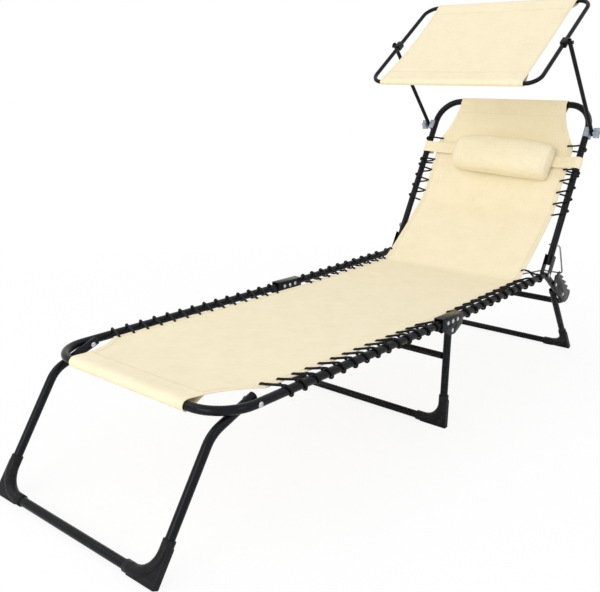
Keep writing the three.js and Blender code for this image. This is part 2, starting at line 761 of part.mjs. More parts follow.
function bracketRivet() {
  const reach = RAIL_RADIUS + FOLD_CHEEK_GAP + PLATE + GAP;
  return rivet(RAIL_X - reach, RAIL_X + reach);
}

// A place on the ratchet plate, counted from the back hinge.
function onRatchet(backShare, dropShare) {
  return [backShare * REAR_PIVOT_BACK, -dropShare * REAR_PIVOT_DROP];
}

function ratchetRivetPlace() {
  return onRatchet(RATCHET_RIVET_SHARE, RATCHET_RIVET_SHARE);
}

function ratchetPlate() {
  const outline = RATCHET_SHARES.map((pair) => onRatchet(...pair));
  const [y, z] = ratchetRivetPlace();
  return plateX(outline.reverse(), RATCHET_IN_X, RATCHET_OUT_X)
    .subtract(holeX(RATCHET_IN_X, y, z))
    .subtract(holeX(RATCHET_IN_X, REAR_PIVOT_BACK, -REAR_PIVOT_DROP));
}

function ratchetRivet() {
  return rivet(RAIL_X - RAIL_RADIUS - GAP, RATCHET_OUT_X + GAP);
}

function rearLegBolt() {
  return rivet(REAR_LEG_X - RAIL_RADIUS - GAP, RATCHET_OUT_X + GAP);
}

function frontLegBolt() {
  const reach = RAIL_RADIUS + GAP;
  return rivet(FRONT_LEG_X - reach, RAIL_X + reach, [FRONT_LEG_X + reach, RAIL_X - reach]);
}

function clevis() {
  const inner = UPRIGHT_RADIUS + GAP;
  const outer = inner + PLATE;
  const outline = [];
  for (let k = 0; k <= CLEVIS_ARC_STEPS; k++) {
    const a = QUARTER_TURN + (Math.PI * k) / CLEVIS_ARC_STEPS;
    outline.push([CLEVIS_HALF * Math.cos(a), CLEVIS_HALF * Math.sin(a)]);
  }
  outline.push([CLEVIS_END, -CLEVIS_HALF], [CLEVIS_END, CLEVIS_HALF]);
  const low = -CLEVIS_HALF + PLATE;
  const far = 2 * CLEVIS_END;
  const slot = [
    [-far, -far],
    [CLEVIS_WEB_START, -far],
    [CLEVIS_WEB_START, low],
    [far, low],
    [far, far],
    [-far, far],
  ];
  return plateX(outline, RAIL_X - outer, RAIL_X + outer)
    .subtract(plateX(slot, RAIL_X - inner, RAIL_X + inner))
    .subtract(holeX(RAIL_X, 0, 0));
}

function hingeBolt() {
  const reach = UPRIGHT_RADIUS + GAP + PLATE + GAP;
  return rivet(RAIL_X - reach, RAIL_X + reach);
}

// The bent wire that props the back: pins in the uprights, legs outside them, and a bowed cross wire.
function reclineBail() {
  const pin = inLounger(back, 0, BAIL_ALONG, 0);
  const [notchBack, notchUp] = onRatchet(...NOTCH_SHARES);
  const notchY = HINGE_Y + notchBack;
  const notchZ = HINGE_Z + notchUp;
  const side = [
    point(RAIL_X - UPRIGHT_RADIUS - BAIL_PIN_PAST, pin.y, pin.z),
    point(BAIL_X, pin.y, pin.z),
    point(BAIL_X, notchY, notchZ),
    point(RAIL_X - BAIL_STEP_IN, notchY, notchZ),
    point(RAIL_X - BAIL_MIDDLE_IN, notchY - BAIL_BOW_FORWARD, notchZ - BAIL_BOW_DROP),
  ];
  const bends = [0, BAIL_BEND, BAIL_BEND, BAIL_BOW_BEND, BAIL_BOW_BEND];
  return bar(rounded(bothSides(side), [...bends, ...bends.toReversed()]), BAIL_RADIUS, WIRE_SIDES);
}

// Sling stations: places in the side view with the cloth's half width and share of sag
function level(place, direction, half = SLING_HALF, hold = 1) {
  return { place, direction, half, hold };
}

// Stations of the scoop next to a hem, in a group's own coordinates.
function scoop(shares, hemHalf, base, top, alongOf) {
  return shares.map(([alongShare, upShare, outShare, hold]) => {
    const up = base + upShare * (top - base);
    const half = hemHalf + outShare * (SLING_HALF - hemHalf);
    return level(point(0, alongOf(alongShare), up), point(0, 1, 0), half, hold);
  });
}

// The foot section's cloth lies higher towards its front end.
function footSling() {
  const top = hemTop(RAIL_RADIUS, HEM_LOOSE);
  const base = (along) => FOOT_RISE * (1 - along / FOOT_LENGTH) - SLING_DROP;
  const alongOf = (share) => share * FRONT_SCOOP;
  const stations = scoop(FRONT_SCOOP_SHARES, FRONT_HEM_HALF, base(FRONT_SCOOP), top, alongOf);
  const end = FOOT_LENGTH - SLING_SPLIT;
  for (const along of [...FOOT_STATION_SHARES.map((share) => share * FOOT_LENGTH), end]) {
    stations.push(level(point(0, along, base(along)), point(0, 1, 0)));
  }
  return cloth(stations, SLING_SAG).add(hem(0, RAIL_RADIUS, HEM_LOOSE, FRONT_HEM_HALF));
}

// The line on which the cloth leaves the seat, crosses in front of the hinge and meets the uprights.
function diagonal() {
  const low = inLounger(seat, 0, SEAT_CORNER, -SLING_DROP);
  const high = inLounger(back, 0, BACK_LINE_START, -SLING_DROP);
  const split = low.clone().lerp(high, DIAGONAL_SPLIT_SHARE);
  const direction = high.clone().sub(low).normalize();
  return { low, high, split, direction };
}

// Stations given in the lounger's own coordinates, as levels of a turned group.
function levelsIn(owner, angle, stations) {
  const turn = new THREE.Quaternion().setFromAxisAngle(point(1, 0, 0), -angle);
  return stations.map(({ place, direction }) =>
    level(owner.worldToLocal(place.clone()), direction.clone().applyQuaternion(turn)),
  );
}

function seatSling() {
  const { low, split, direction } = diagonal();
  const stations = SEAT_STATION_SHARES.map((share) =>
    level(point(0, SLING_SPLIT + share * SEAT_CORNER, -SLING_DROP), point(0, 1, 0)),
  );
  const start = inLounger(seat, 0, SLING_SPLIT, -SLING_DROP);
  const end = split.clone().addScaledVector(direction, -SLING_SPLIT);
  const bend = rounded([start, low, end], SEAT_CORNER_BEND).slice(1);
  return cloth([...stations, ...levelsIn(seat, SEAT_ANGLE, bend)], SLING_SAG);
}

function backSling() {
  const { high, split, direction } = diagonal();
  const start = split.clone().addScaledVector(direction, SLING_SPLIT);
  const scoopStart = BACK_LENGTH - HEAD_SCOOP;
  const end = inLounger(back, 0, scoopStart, -SLING_DROP);
  const bend = rounded([start, high, end], BACK_CORNER_BEND).slice(0, -1);
  const stations = levelsIn(back, BACK_ANGLE, bend);
  for (const share of BACK_STATION_SHARES) {
    const along = BACK_LINE_START + share * (scoopStart - BACK_LINE_START);
    stations.push(level(point(0, along, -SLING_DROP), point(0, 1, 0)));
  }
  const top = hemTop(UPRIGHT_RADIUS, HEM_LOOSE);
  const alongOf = (share) => BACK_LENGTH - share * HEAD_SCOOP;
  stations.push(...scoop(HEAD_SCOOP_SHARES, HEAD_HEM_HALF, -SLING_DROP, top, alongOf));
  return cloth(stations, SLING_SAG)
    .add(hem(BACK_LENGTH, UPRIGHT_RADIUS, HEM_LOOSE, HEAD_HEM_HALF));
}

function canopyCloth() {
  const end = CANOPY_HALF_LENGTH;
  const centre = CANOPY_PIVOT_BACK;
  const top = hemTop(CANOPY_TUBE_RADIUS, CANOPY_HEM_LOOSE);
  const stations = CANOPY_STATION_SHARES.map((share) => {
    const rest = 1 - share * share;
    const place = point(0, centre + share * end, top - CANOPY_SAG * rest);
    return level(place, point(0, 1, 0), CANOPY_CLOTH_HALF, rest);
  });
  const hemAt = (y) => hem(y, CANOPY_TUBE_RADIUS, CANOPY_HEM_LOOSE, CANOPY_CLOTH_HALF);
  return cloth(stations, CANOPY_SAG_ACROSS_SHARE * CANOPY_SAG)
    .add(hemAt(centre - end))
    .add(hemAt(centre + end));
}

// Lacing: one cord that runs from the hem over the tube, round it and back under it, again and again.
function laces(start, pitch, count, tubeRadius, clear) {
  const wrap = tubeRadius + CORD_RADIUS + clear;
  const innerX = SLING_HALF + LACE_PAST_HEM;
  const outX = RAIL_X + wrap * Math.cos(LACE_CORNER);
  const low = wrap * HALF;
  const [top, outHigh, outLow, under, end] = LACE_SHARES;
  const shape = [
    [innerX, 0, LACE_OVER_HEM],
    [RAIL_X, top, wrap],
    [outX, outHigh, low],
    [outX, outLow, -low],
    [RAIL_X, under, -wrap],
    [innerX, end, -LACE_UNDER_HEM],
  ];
  const points = [];
  for (let k = 0; k < count; k++) {
    for (const [x, share, up] of shape) {
      points.push(point(x, start + (k + share) * pitch, up));
    }
  }
  return points;
}

function cord(points) {
  return bar(through(points), CORD_RADIUS, CORD_SIDES);
}

function footLacing() {
  return cord(laces(FOOT_LACE_START, FOOT_LACE_PITCH, FOOT_LACES, RAIL_RADIUS, RAIL_LACE_CLEAR));
}

function seatLacing() {
  return cord(laces(SEAT_LACE_START, SEAT_LACE_PITCH, SEAT_LACES, RAIL_RADIUS, RAIL_LACE_CLEAR));
}

function backLacing() {
  const round = [UPRIGHT_RADIUS, BACK_LACE_CLEAR];
  const low = laces(BACK_LACE_START, BACK_LACE_PITCH, BACK_LACES, ...round);
  const high = laces(BACK_LENGTH - HEAD_LACE_BELOW_HEAD, HEAD_LACE_PITCH, 1, ...round);
  return cord([...low, ...high]);
}

// The pillow, flat where it rests and full in front, with drawn-in ends. It lies along X.
function headPillow() {
  const stations = [...PILLOW_STATION_SHARES];
  const rows = 2 * (stations.length - 1);
  const roll = new THREE.CylinderGeometry(1, 1, 1, PILLOW_ROUND_SEGMENTS, rows);
  roll.rotateZ(-QUARTER_TURN);
  const places = roll.getAttribute("position");
  const v = point();
  for (let i = 0; i < places.count; i++) {
    v.fromBufferAttribute(places, i);
    const row = Math.round(v.x * rows);
    const [share, tall, thick] = stations[Math.abs(row)];
    const swell = (t) => Math.sign(t) * Math.abs(t) ** PILLOW_SQUARE_POWER;
    const x = Math.sign(row) * share * HALF * PILLOW_LENGTH;
    const along = HALF * PILLOW_TALL * tall * swell(v.y);
    const up = PILLOW_THICK * thick * Math.max(swell(v.z), 0);
    places.setXYZ(i, x, along, up);
  }
  return solid(roll);
}

// A band round one upright, from the pillow's end to behind the tube.
function pillowStrap(side) {
  const radius = UPRIGHT_RADIUS + STRAP_CLEAR;
  const inner = [];
  const outer = [];
  const layer = (x, up, outX, outUp) => {
    inner.push([x, up]);
    outer.push([x + outX * STRAP_CLOTH, up + outUp * STRAP_CLOTH]);
  };
  layer(HALF * PILLOW_LENGTH + side * PILLOW_OFF_CENTRE + STRAP_END_GAP, STRAP_REST, 0, 1);
  for (let k = 0; k <= STRAP_ARC_STEPS; k++) {
    const a = QUARTER_TURN - (Math.PI * k) / STRAP_ARC_STEPS;
    layer(RAIL_X + radius * Math.cos(a), radius * Math.sin(a), Math.cos(a), Math.sin(a));
  }
  layer(RAIL_X - STRAP_BACK_IN, -radius, 0, -1);
  const outline = [...inner, ...outer.reverse()].map(([x, up]) => new THREE.Vector2(x, up));
  const band = new THREE.ExtrudeGeometry(new THREE.Shape(outline), {
    depth: STRAP_WIDTH,
    bevelEnabled: false,
  });
  return solid(band.rotateX(QUARTER_TURN).translate(0, HALF * STRAP_WIDTH, 0));
}

// Canopy frame, struts, clamps, clips and knobs
function canopyFrame() {
  const near = CANOPY_PIVOT_BACK - CANOPY_HALF_LENGTH;
  const far = CANOPY_PIVOT_BACK + CANOPY_HALF_LENGTH;
  const halfLoop = (side, radius, sides) => {
    const wide = side * CANOPY_HALF_WIDTH;
    const past = -side * OVERRUN;
    const path = [point(past, near, 0), point(wide, near, 0), point(wide, far, 0), point(past, far, 0)];
    return bar(rounded(path, CANOPY_CORNER), radius, sides);
  };
  const bore = CANOPY_TUBE_RADIUS - CANOPY_TUBE_WALL;
  const skin = halfLoop(1, CANOPY_TUBE_RADIUS, TUBE_SIDES).add(halfLoop(-1, CANOPY_TUBE_RADIUS, TUBE_SIDES));
  return skin
    .subtract(halfLoop(1, bore, BORE_SIDES).add(halfLoop(-1, bore, BORE_SIDES)))
    .subtract(holes(CANOPY_HALF_WIDTH, 0, 0, CLIP_PIN_RADIUS));
}

function canopyStrut() {
  const path = [
    point(STRUT_X, -STRUT_PAST_PIVOT, 0),
    point(STRUT_X, STRUT_LENGTH + STRUT_PAST_PIVOT, 0),
  ];
  return pipe(through(path), CANOPY_TUBE_RADIUS, CANOPY_TUBE_WALL)
    .subtract(holeX(STRUT_X, 0, 0, KNOB_SHANK_RADIUS))
    .subtract(holeX(STRUT_X, STRUT_LENGTH, 0, CLIP_PIN_RADIUS));
}

function canopyClamp() {
  const [low, high] = [CLAMP_ALONG - CLAMP_HALF_LENGTH, CLAMP_ALONG + CLAMP_HALF_LENGTH];
  const outline = [
    [low, -CLAMP_HALF],
    [high, -CLAMP_HALF],
    [high, CLAMP_BORE + CLAMP_FRONT_WALL],
    [low, CLAMP_BORE + CLAMP_FRONT_WALL],
  ];
  const path = [point(RAIL_X, low - OVERRUN, 0), point(RAIL_X, high + OVERRUN, 0)];
  const bore = bar(through(path), CLAMP_BORE, TUBE_SIDES);
  const wide = boreFor(KNOB_SHANK_RADIUS, RUNNING_GAP, ROUND_SEGMENTS);
  const hole = pinX(RAIL_X, CLAMP_OUT_X + OVERRUN, wide, CLAMP_ALONG, STRUT_FOOT_UP, ROUND_SEGMENTS);
  return plateX(outline, RAIL_X - CLAMP_HUG, CLAMP_OUT_X).subtract(bore).subtract(hole);
}

function canopyKnob() {
  const inner = STRUT_OUT_X + KNOB_GAP;
  const outer = inner + KNOB_THICK;
  const start = CLAMP_OUT_X - KNOB_SHANK_IN_CLAMP;
  let knob = pinX(inner, outer, KNOB_HUB_RADIUS, 0, 0, ROUND_SEGMENTS)
    .add(pinX(start, outer, KNOB_SHANK_RADIUS, 0, 0, ROUND_SEGMENTS));
  for (let k = 0; k < KNOB_LOBES; k++) {
    const a = (2 * Math.PI * k) / KNOB_LOBES;
    const y = KNOB_LOBE_CENTRE * Math.cos(a);
    const z = KNOB_LOBE_CENTRE * Math.sin(a);
    knob = knob.add(pinX(inner, outer, KNOB_LOBE_RADIUS, y, z));
  }
  return knob;
}

function canopyClip() {
  const outline = [
    [-CLIP_HALF_LENGTH, -CLIP_HALF_HEIGHT],
    [CLIP_HALF_LENGTH, -CLIP_HALF_HEIGHT],
    [CLIP_HALF_LENGTH, CLIP_HALF_HEIGHT],
    [-CLIP_HALF_LENGTH, CLIP_HALF_HEIGHT],
  ];
  const inner = CANOPY_HALF_WIDTH - CLIP_HALF_WIDTH;
  const outer = CANOPY_HALF_WIDTH + CLIP_HALF_WIDTH;
  const reach = CLIP_HALF_LENGTH + OVERRUN;
  const path = [point(CANOPY_HALF_WIDTH, -reach, 0), point(CANOPY_HALF_WIDTH, reach, 0)];
  const bore = bar(through(path), CLIP_BORE, TUBE_SIDES);
  const head = STRUT_OUT_X + CLIP_HEAD_GAP;
  const end = head + CLIP_HEAD_THICK;
  return plateX(outline, inner, outer)
    .subtract(bore)
    .add(pinX(outer - HALF * OVERRUN, end, CLIP_PIN_RADIUS, 0, 0, ROUND_SEGMENTS))
    .add(pinX(head, end, CLIP_HEAD_RADIUS, 0, 0));
}

// Materials: each mesh gets its own
const looks = {
  frame: { color: 0x17181b, roughness: 0.38, metalness: 0.4 },
  bright: { color: 0xb9bcc0, roughness: 0.3, metalness: 0.9 },
  black: { color: 0x101012, roughness: 0.6, metalness: 0 },
  cord: { color: 0x15130f, roughness: 0.8, metalness: 0 },
  cloth: { color: 0xefe2c0, roughness: 0.9, metalness: 0 },
  knob: { color: 0x5f6d7c, roughness: 0.5, metalness: 0 },
};

function addMesh(owner, name, geometry, look, place) {
  const mesh = new THREE.Mesh(geometry, new THREE.MeshStandardMaterial(looks[look]));
  mesh.name = name;
  mesh.position.set(0, ...place);
  owner.add(mesh);
  return mesh;
}

function addPiece(owner, name, body, look, place = [0, 0]) {
  return addMesh(owner, name, geometryOf(body), look, place);
}

// The right-hand piece, and its mirror image on the left.
function addPair(owner, name, body, look, place = [0, 0]) {
  const geometry = geometryOf(body);
  addMesh(owner, name + "_right", geometry, look, place);
  addMesh(owner, name + "_left", mirrored(geometry), look, place);
}

addPiece(foot, "foot_rails", footRails(), "frame");
addPiece(foot, "foot_sling", footSling(), "cloth");
addPair(foot, "foot_lacing", footLacing(), "cord");
addPair(foot, "front_leg_bolt", frontLegBolt(), "bright", [FRONT_PIVOT_ALONG, 0]);

addPiece(lounger, "seat_rails", seatRails(), "frame");
addPiece(seat, "seat_sling", seatSling(), "cloth");
addPair(seat, "seat_lacing", seatLacing(), "cord");
addPair(hinge, "ratchet_plate", ratchetPlate(), "frame");
addPair(hinge, "ratchet_rivet", ratchetRivet(), "bright", ratchetRivetPlace());
addPair(hinge, "rear_leg_bolt", rearLegBolt(), "bright", [REAR_PIVOT_BACK, -REAR_PIVOT_DROP]);
addPair(hinge, "back_hinge_bolt", hingeBolt(), "bright");

addPiece(lounger, "front_leg_frame", frontLegFrame(), "frame");
addPair(lounger, "front_boot", boot(frontLegPath(), 2), "black");
addPair(lounger, "front_leg_cap", legCap(frontLegPath()), "black");
addPiece(lounger, "middle_leg_frame", middleLegFrame(), "frame");
addPiece(lounger, "middle_leg_brace", middleLegBrace(), "frame");
addPair(lounger, "middle_boot", boot(middleLegPath(), 1), "black");
addPiece(lounger, "rear_leg_frame", rearLegFrame(), "frame");
addPair(lounger, "rear_boot", boot(rearLegPath(), 1), "black");

addPair(fold, "fold_bracket", foldBracket(), "frame");
addPair(fold, "foot_pivot_rivet", bracketRivet(), "bright", foldPivots()[0]);
addPair(fold, "seat_pivot_rivet", bracketRivet(), "bright", foldPivots()[1]);
addPair(fold, "leg_rivet_upper", bracketRivet(), "bright", fixedRivets()[0]);
addPair(fold, "leg_rivet_lower", bracketRivet(), "bright", fixedRivets()[1]);

addPiece(back, "back_frame", backFrame(), "frame");
addPair(back, "back_hinge_clevis", clevis(), "frame");
addPiece(back, "back_sling", backSling(), "cloth");
addPair(back, "back_lacing", backLacing(), "cord");
const pillow = addPiece(back, "head_pillow", headPillow(), "cloth", [PILLOW_ALONG, PILLOW_REST]);
pillow.position.x = PILLOW_OFF_CENTRE;
pillow.rotation.z = PILLOW_TURN;
for (const [name, side] of [["pillow_strap_right", 1], ["pillow_strap_left", -1]]) {
  const strap = geometryOf(pillowStrap(side));
  const along = STRAP_ALONG - side * HALF * STRAP_SLANT;
  addMesh(back, name, side > 0 ? strap : mirrored(strap), "cloth", [along, 0]);
}
addPair(back, "canopy_clamp", canopyClamp(), "black");
addPiece(lounger, "recline_bail", reclineBail(), "bright");

addPair(arms, "canopy_strut", canopyStrut(), "frame");
addPair(arms, "canopy_knob", canopyKnob(), "knob");
addPiece(canopy, "canopy_frame", canopyFrame(), "frame");
addPair(canopy, "canopy_clip", canopyClip(), "black");
addPiece(canopy, "canopy_cloth", canopyCloth(), "cloth");

// The origin is under the middle of the whole lounger, on the floor.
const bounds = new THREE.Box3().setFromObject(stand, true);
const middle = bounds.getCenter(new THREE.Vector3());
lounger.position.set(-middle.x, -middle.y, -bounds.min.z);

export default stand;
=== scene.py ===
"""A folding sun lounger with a laced sling, a head pillow and a tilting canopy. Metres, +Z up."""

import math

import bmesh
import bpy
import numpy as np
from mathutils import Matrix, Vector
from mathutils.bvhtree import BVHTree


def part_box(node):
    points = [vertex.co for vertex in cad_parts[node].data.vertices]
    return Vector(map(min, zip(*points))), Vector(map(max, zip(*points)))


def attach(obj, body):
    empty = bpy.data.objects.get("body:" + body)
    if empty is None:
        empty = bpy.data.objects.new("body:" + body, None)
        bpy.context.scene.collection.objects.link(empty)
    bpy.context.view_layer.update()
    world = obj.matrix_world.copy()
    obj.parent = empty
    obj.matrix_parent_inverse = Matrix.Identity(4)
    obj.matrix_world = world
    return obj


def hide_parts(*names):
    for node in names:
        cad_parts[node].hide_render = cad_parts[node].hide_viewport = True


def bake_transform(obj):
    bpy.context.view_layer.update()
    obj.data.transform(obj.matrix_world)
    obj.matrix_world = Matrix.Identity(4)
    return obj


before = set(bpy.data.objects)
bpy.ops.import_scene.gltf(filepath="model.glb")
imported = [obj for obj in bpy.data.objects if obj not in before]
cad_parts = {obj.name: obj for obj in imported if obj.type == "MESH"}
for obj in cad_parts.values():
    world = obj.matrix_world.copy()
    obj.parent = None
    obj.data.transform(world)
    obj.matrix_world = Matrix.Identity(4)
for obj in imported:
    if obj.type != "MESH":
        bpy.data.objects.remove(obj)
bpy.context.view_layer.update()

# Stock
RAIL_RADIUS = 0.010
UPRIGHT_RADIUS = 0.0105
CANOPY_RADIUS = 0.00625
BRACE_RADIUS = 0.009
WIRE_RADIUS = 0.0025
TUBE_WALL = 0.0012
TUBE_SIDES = 28
WIRE_SIDES = 14
CORD_SIDES = 9
BORE_DEPTH = 0.012
BEND_STEP = math.radians(6)
BRACE_STEP = 0.02
STRUT_STEP = 0.03

# Meshes: over which angle in degrees an edge stays sharp, and how a CAD mesh is cleaned
SHARP = 40
SHARP_TURNED = 35
SHARP_CLOTH = 60
SHARP_RIGID = 50
SHARP_NOWHERE = 180
WELD = 0.00002
FLAT_ANGLE = math.radians(2)
EDGE_ANGLE = math.radians(28)
STEEP = 0.7

# Frame lines
FRONT_PIVOT_ALONG = 0.096
FOLD_PIVOT_OFFSET = 0.024
FOLD_END_OFFSET = 0.020
MIDDLE_LEG_RISE = 0.007
BACK_ANGLE = math.radians(62.9)
BACK_LENGTH = 0.5772
UPRIGHT_START = 0.034
CORNER_BEND = 0.090
HEAD_BEND = 0.080
FOOT_BEND = 0.058
FRONT_LEG_BEND = 0.070
FRONT_LEG_BEND_ALONG = -0.004
FRONT_LEG_BEND_Z = 0.251
FRONT_FOOT_ALONG = -0.152
REAR_FOOT_PAST_BOLT = 0.161
LEG_PAST_PIVOT = 0.014
FOOT_TUBE_Z = 0.0123
REAR_BAR_PAST_PIVOT = 0.076
REAR_BAR_BEND = 0.045
SEAT_DROP_BEND = 0.050

# Recline wire, from the back hinge
WIRE_ALONG = 0.099
WIRE_PIN_IN_X = 0.264
WIRE_OUT_X = 0.300
WIRE_STEP_X = 0.236
WIRE_MIDDLE_X = 0.150
NOTCH = (0.0853, -0.0073)
WIRE_BOW = (-0.057, -0.025)
WIRE_BEND = 0.009
WIRE_BOW_BEND = 0.020

# Sling
SLING_HALF = 0.246
FRONT_HEM_HALF = 0.185
HEAD_HEM_HALF = 0.193
FRONT_SCOOP = 0.152
HEAD_SCOOP = 0.1472
FRONT_SCOOP_POWER = 2.2
HEAD_SCOOP_POWER = 1.8
SCOOP_FALL_POWER = 1.15
SCOOP_SHARES = (0.0, 0.18, 0.42, 0.65, 0.86, 1.0)
HEM_LENGTH = 0.046
HEM_CLEAR = 0.0022
SLING_DROP = 0.002
FOOT_RISE = 0.011
SLING_SAG = 0.004
CLOTH = 0.0011
HEM_EXTRA = 0.0007
SIDE_HEM = 0.018
# Painted shade: the share of the cloth's colour kept over its doubled side hems, standing in for the
# shade at their fold
PAINTED_HEM_SHADE = 0.955
HEM_EDGE = 0.0012
STATION = 0.005
SLING_OFF_CENTRE = 0.004
SEAT_CORNER_BEFORE_HINGE = 0.124
SEAT_CORNER_BEND = 0.051
BACK_LINE_START = 0.205
BACK_CORNER_BEND = 0.120
DIAGONAL_SPLIT_SHARE = 0.47
SEAT_FLAT_END = 0.400
BACK_FLAT_START = 0.330
FOOT_LINE_SHARES = (0.35, 0.5, 0.7, 0.88)
SEAT_LINE_ALONGS = (0.040, 0.200)
HEM_LEDGE = 0.006
RIM_SHARE = 0.993
SEAM_LIFT = (CLOTH + HEM_EXTRA) / 2
HEM_SHORT = 0.006
HEM_SHORT_SHARE = 0.95
WRAP_STEPS = 12
ACROSS = 40
HEM_ACROSS = 30
HEM_STATION = 0.004
FOLD_CLOTH_REACH = 0.07

# Stitching
STITCH_PITCH = 0.0036
STITCH_FROM_EDGE = 0.0155
STITCH_SIDES = 5
STITCH_RADIUS = 0.00045
STITCH_RISE = 0.0001
STITCH_SHAPE = ((0.0, 0.3), (0.18, 1.0), (0.5, 1.0), (0.68, 0.3))

# Lacing
LACE_RADIUS = 0.0029
LACE_CLEAR = 0.0003
# Each run of laces: row start, pitch, count, eyelet's x at the right and at the left
FOOT_LACES = (0.159, 0.0435, 14, 0.240, 0.231)
SEAT_LACES = (0.060, 0.044, 10, 0.240, 0.233)
BACK_LACES = (0.193, 0.0397, 4, 0.2405, 0.2385)
END_LACE = (0.3518, -0.012, 1, 0.2405, 0.2385)
HEAD_LACE = (0.433, -0.014, 1, 0.232, 0.230)
LAST_LACE = (-0.090, 0.044, 1, 0.241, 0.238)
LAST_LACE_UP = 0.0225
LAST_LACE_LIFT = 0.005
FIRST_INSETS = (0.011, 0.003)
# Where a lace meets the top of its tube and leaves its underside, as shares of the pitch
RAIL_LACE_SHARES = (0.38, 0.80)
BACK_LACE_SHARES = (0.14, 0.86)
LAST_LACE_SHARES = (0.62, 0.98)
LACE_TOP_ANGLE = math.radians(100)
LACE_STEPS = 18
LACE_STEP = 0.0024
SCALLOP = 0.0020
# A lace in its eyelet, as (x outward, share of the pitch, up)
LACE_HOLE = ((-0.0010, -0.02, -0.0030), (0.0002, 0.0, 0.0018))
LACE_UNDER = 0.0044
# Places on a lace's straight runs, as shares of the way from the eyelet to the tube
LACE_OUT_SHARES = (0.2, 0.6)
LACE_BACK_SHARES = (0.6, 0.3, 0.06)

# Pillow and straps
PILLOW_ALONG = 0.371
PILLOW_OFF_CENTRE = 0.028
PILLOW_TURN = math.radians(-2.8)
PILLOW_REST = 0.001
PILLOW_HALF = 0.172
PILLOW_TALL = 0.126
PILLOW_THICK = 0.074
PILLOW_SQUARE_POWER = 0.72
PILLOW_AROUND = 56
PILLOW_SHAPE = (
    (0.0, 1.0, 1.0),
    (0.25, 0.998, 0.995),
    (0.5, 0.99, 0.972),
    (0.68, 0.98, 0.925),
    (0.8, 0.967, 0.875),
    (0.9, 0.94, 0.80),
    (0.955, 0.91, 0.735),
    (0.985, 0.875, 0.675),
    (0.998, 0.84, 0.635),
    (1.004, 0.77, 0.58),
    (1.010, 0.5, 0.42),
    (1.013, 0.02, 0.26),
)
PILLOW_VOXEL = 0.005
PILLOW_CAP = 0.005
PILLOW_PRESSURE = 4.0
PILLOW_STIFFNESS = 12
PILLOW_BENDING = 0.4
SIM_FRAMES = 20
SEAM_X = 0.1705
PIPING = 0.0014
PIPING_STEPS = 80
PIPING_SIDES = 8
SEAM_HEART_SHARE = 0.28
LONG_SEAM = 0.8 * PIPING
LONG_SEAM_UP = 0.006
LONG_SEAM_STEPS = 69
LONG_SEAM_SIDES = 6
STRAP_ALONG = 0.3855
STRAP_SLANT = 0.021
STRAP_WIDTH = 0.038
STRAP_RADIUS = 0.0123
STRAP_TUCK = 0.004
STRAP_REST = 0.0033
STRAP_BACK_X = 0.258
STRAP_CLOTH = 0.0015
# The strap's rise from the pillow to the upright, as (share of the way, up)
STRAP_RISE_SHARES = ((0.35, STRAP_REST), (0.7, STRAP_RADIUS * 0.55))
STRAP_ROUND_START = math.pi * 0.55
STRAP_ROUND_TURN = math.pi * 1.05
STRAP_STEP = 0.004
STRAP_STEPS = 14
STRAP_COLUMNS = 12

# Canopy
CANOPY_ANGLE = math.radians(36.7)
CANOPY_HALF_LENGTH = 0.2064
CANOPY_HALF_WIDTH = 0.28362
CANOPY_CORNER = 0.041
CANOPY_CLOTH_HALF = 0.242
CANOPY_PIVOT_ALONG = -0.012
CANOPY_SAG = 0.008
CANOPY_SAG_ACROSS = 0.004
CANOPY_HEM = 0.042
CANOPY_HEM_CLEAR = 0.0016
CANOPY_WAIST = 0.006
CANOPY_SIDE_HEM = 0.012
CANOPY_ACROSS = 44
CANOPY_STATION = 0.005
CANOPY_WRAP_STEPS = 10
CANOPY_HALF_STEPS = 8
TOP_FACING = 0.5
STRUT_PAST_PIVOT = 0.010

# Knobs, as (depth under the outer face, share of the radius)
KNOB_LAYER_SHARES = (
    (0.0150, 0.86),
    (0.0142, 0.94),
    (0.0128, 0.98),
    (0.0030, 1.0),
    (0.0012, 0.96),
    (0.0003, 0.88),
    (0.0, 0.74),
    (0.0, 0.42),
    (0.0016, 0.34),
    (0.0016, 0.05),
)
KNOB_LOBES = 6
KNOB_MEAN = 0.0150
KNOB_WAVE = 0.0034
KNOB_WAVE_SHARE = 1.1
KNOB_SHANK_END = 0.014
KNOB_SHANK_START = 0.2914
KNOB_SHANK_RADIUS = 0.0029
KNOB_SEGMENTS = 96

# Boots, leg caps and rivets
BOOT_RADIUS = 0.01295
BOOT_SLEEVE = 0.078
BOOT_REACH = 0.0134
BOOT_WEB = 0.066
BOOT_WEB_HALF = 0.008
BOOT_STEP = math.radians(15)
BOOT_EDGE = 0.0024
BOOT_SIDES = 32
BOOT_LIP = 0.0012
BOOT_LIP_DROP = 0.0011
# As (height over the tube's end, share of its radius)
LEG_CAP_SHARES = ((0.0002, 1.0), (0.0014, 1.0), (0.0026, 0.86), (0.0034, 0.5))
# As (depth under the head's crown, share of the head's radius)
RIVET_CROWN_SHARES = ((0.0, 0.12), (0.0006, 0.5), (0.0012, 0.78), (0.0017, 0.95), (0.0021, 1.0))
RIVET_SHANK_SHARE = 0.53
TURNED_SIDES = 28

# View
CAMERA_FROM_FOLD = Vector((1.2643014788739, -1.7689197084099, 0.8873676258491))
CAMERA_AZIMUTH = 0.700429502593
CAMERA_ELEVATION = 0.260361090373
CAMERA_ROLL = 0.015119739760
SENSOR = 36.0
LENS = 47.8
CAMERA_REACH = 60
WORLD_FILL = 0.82
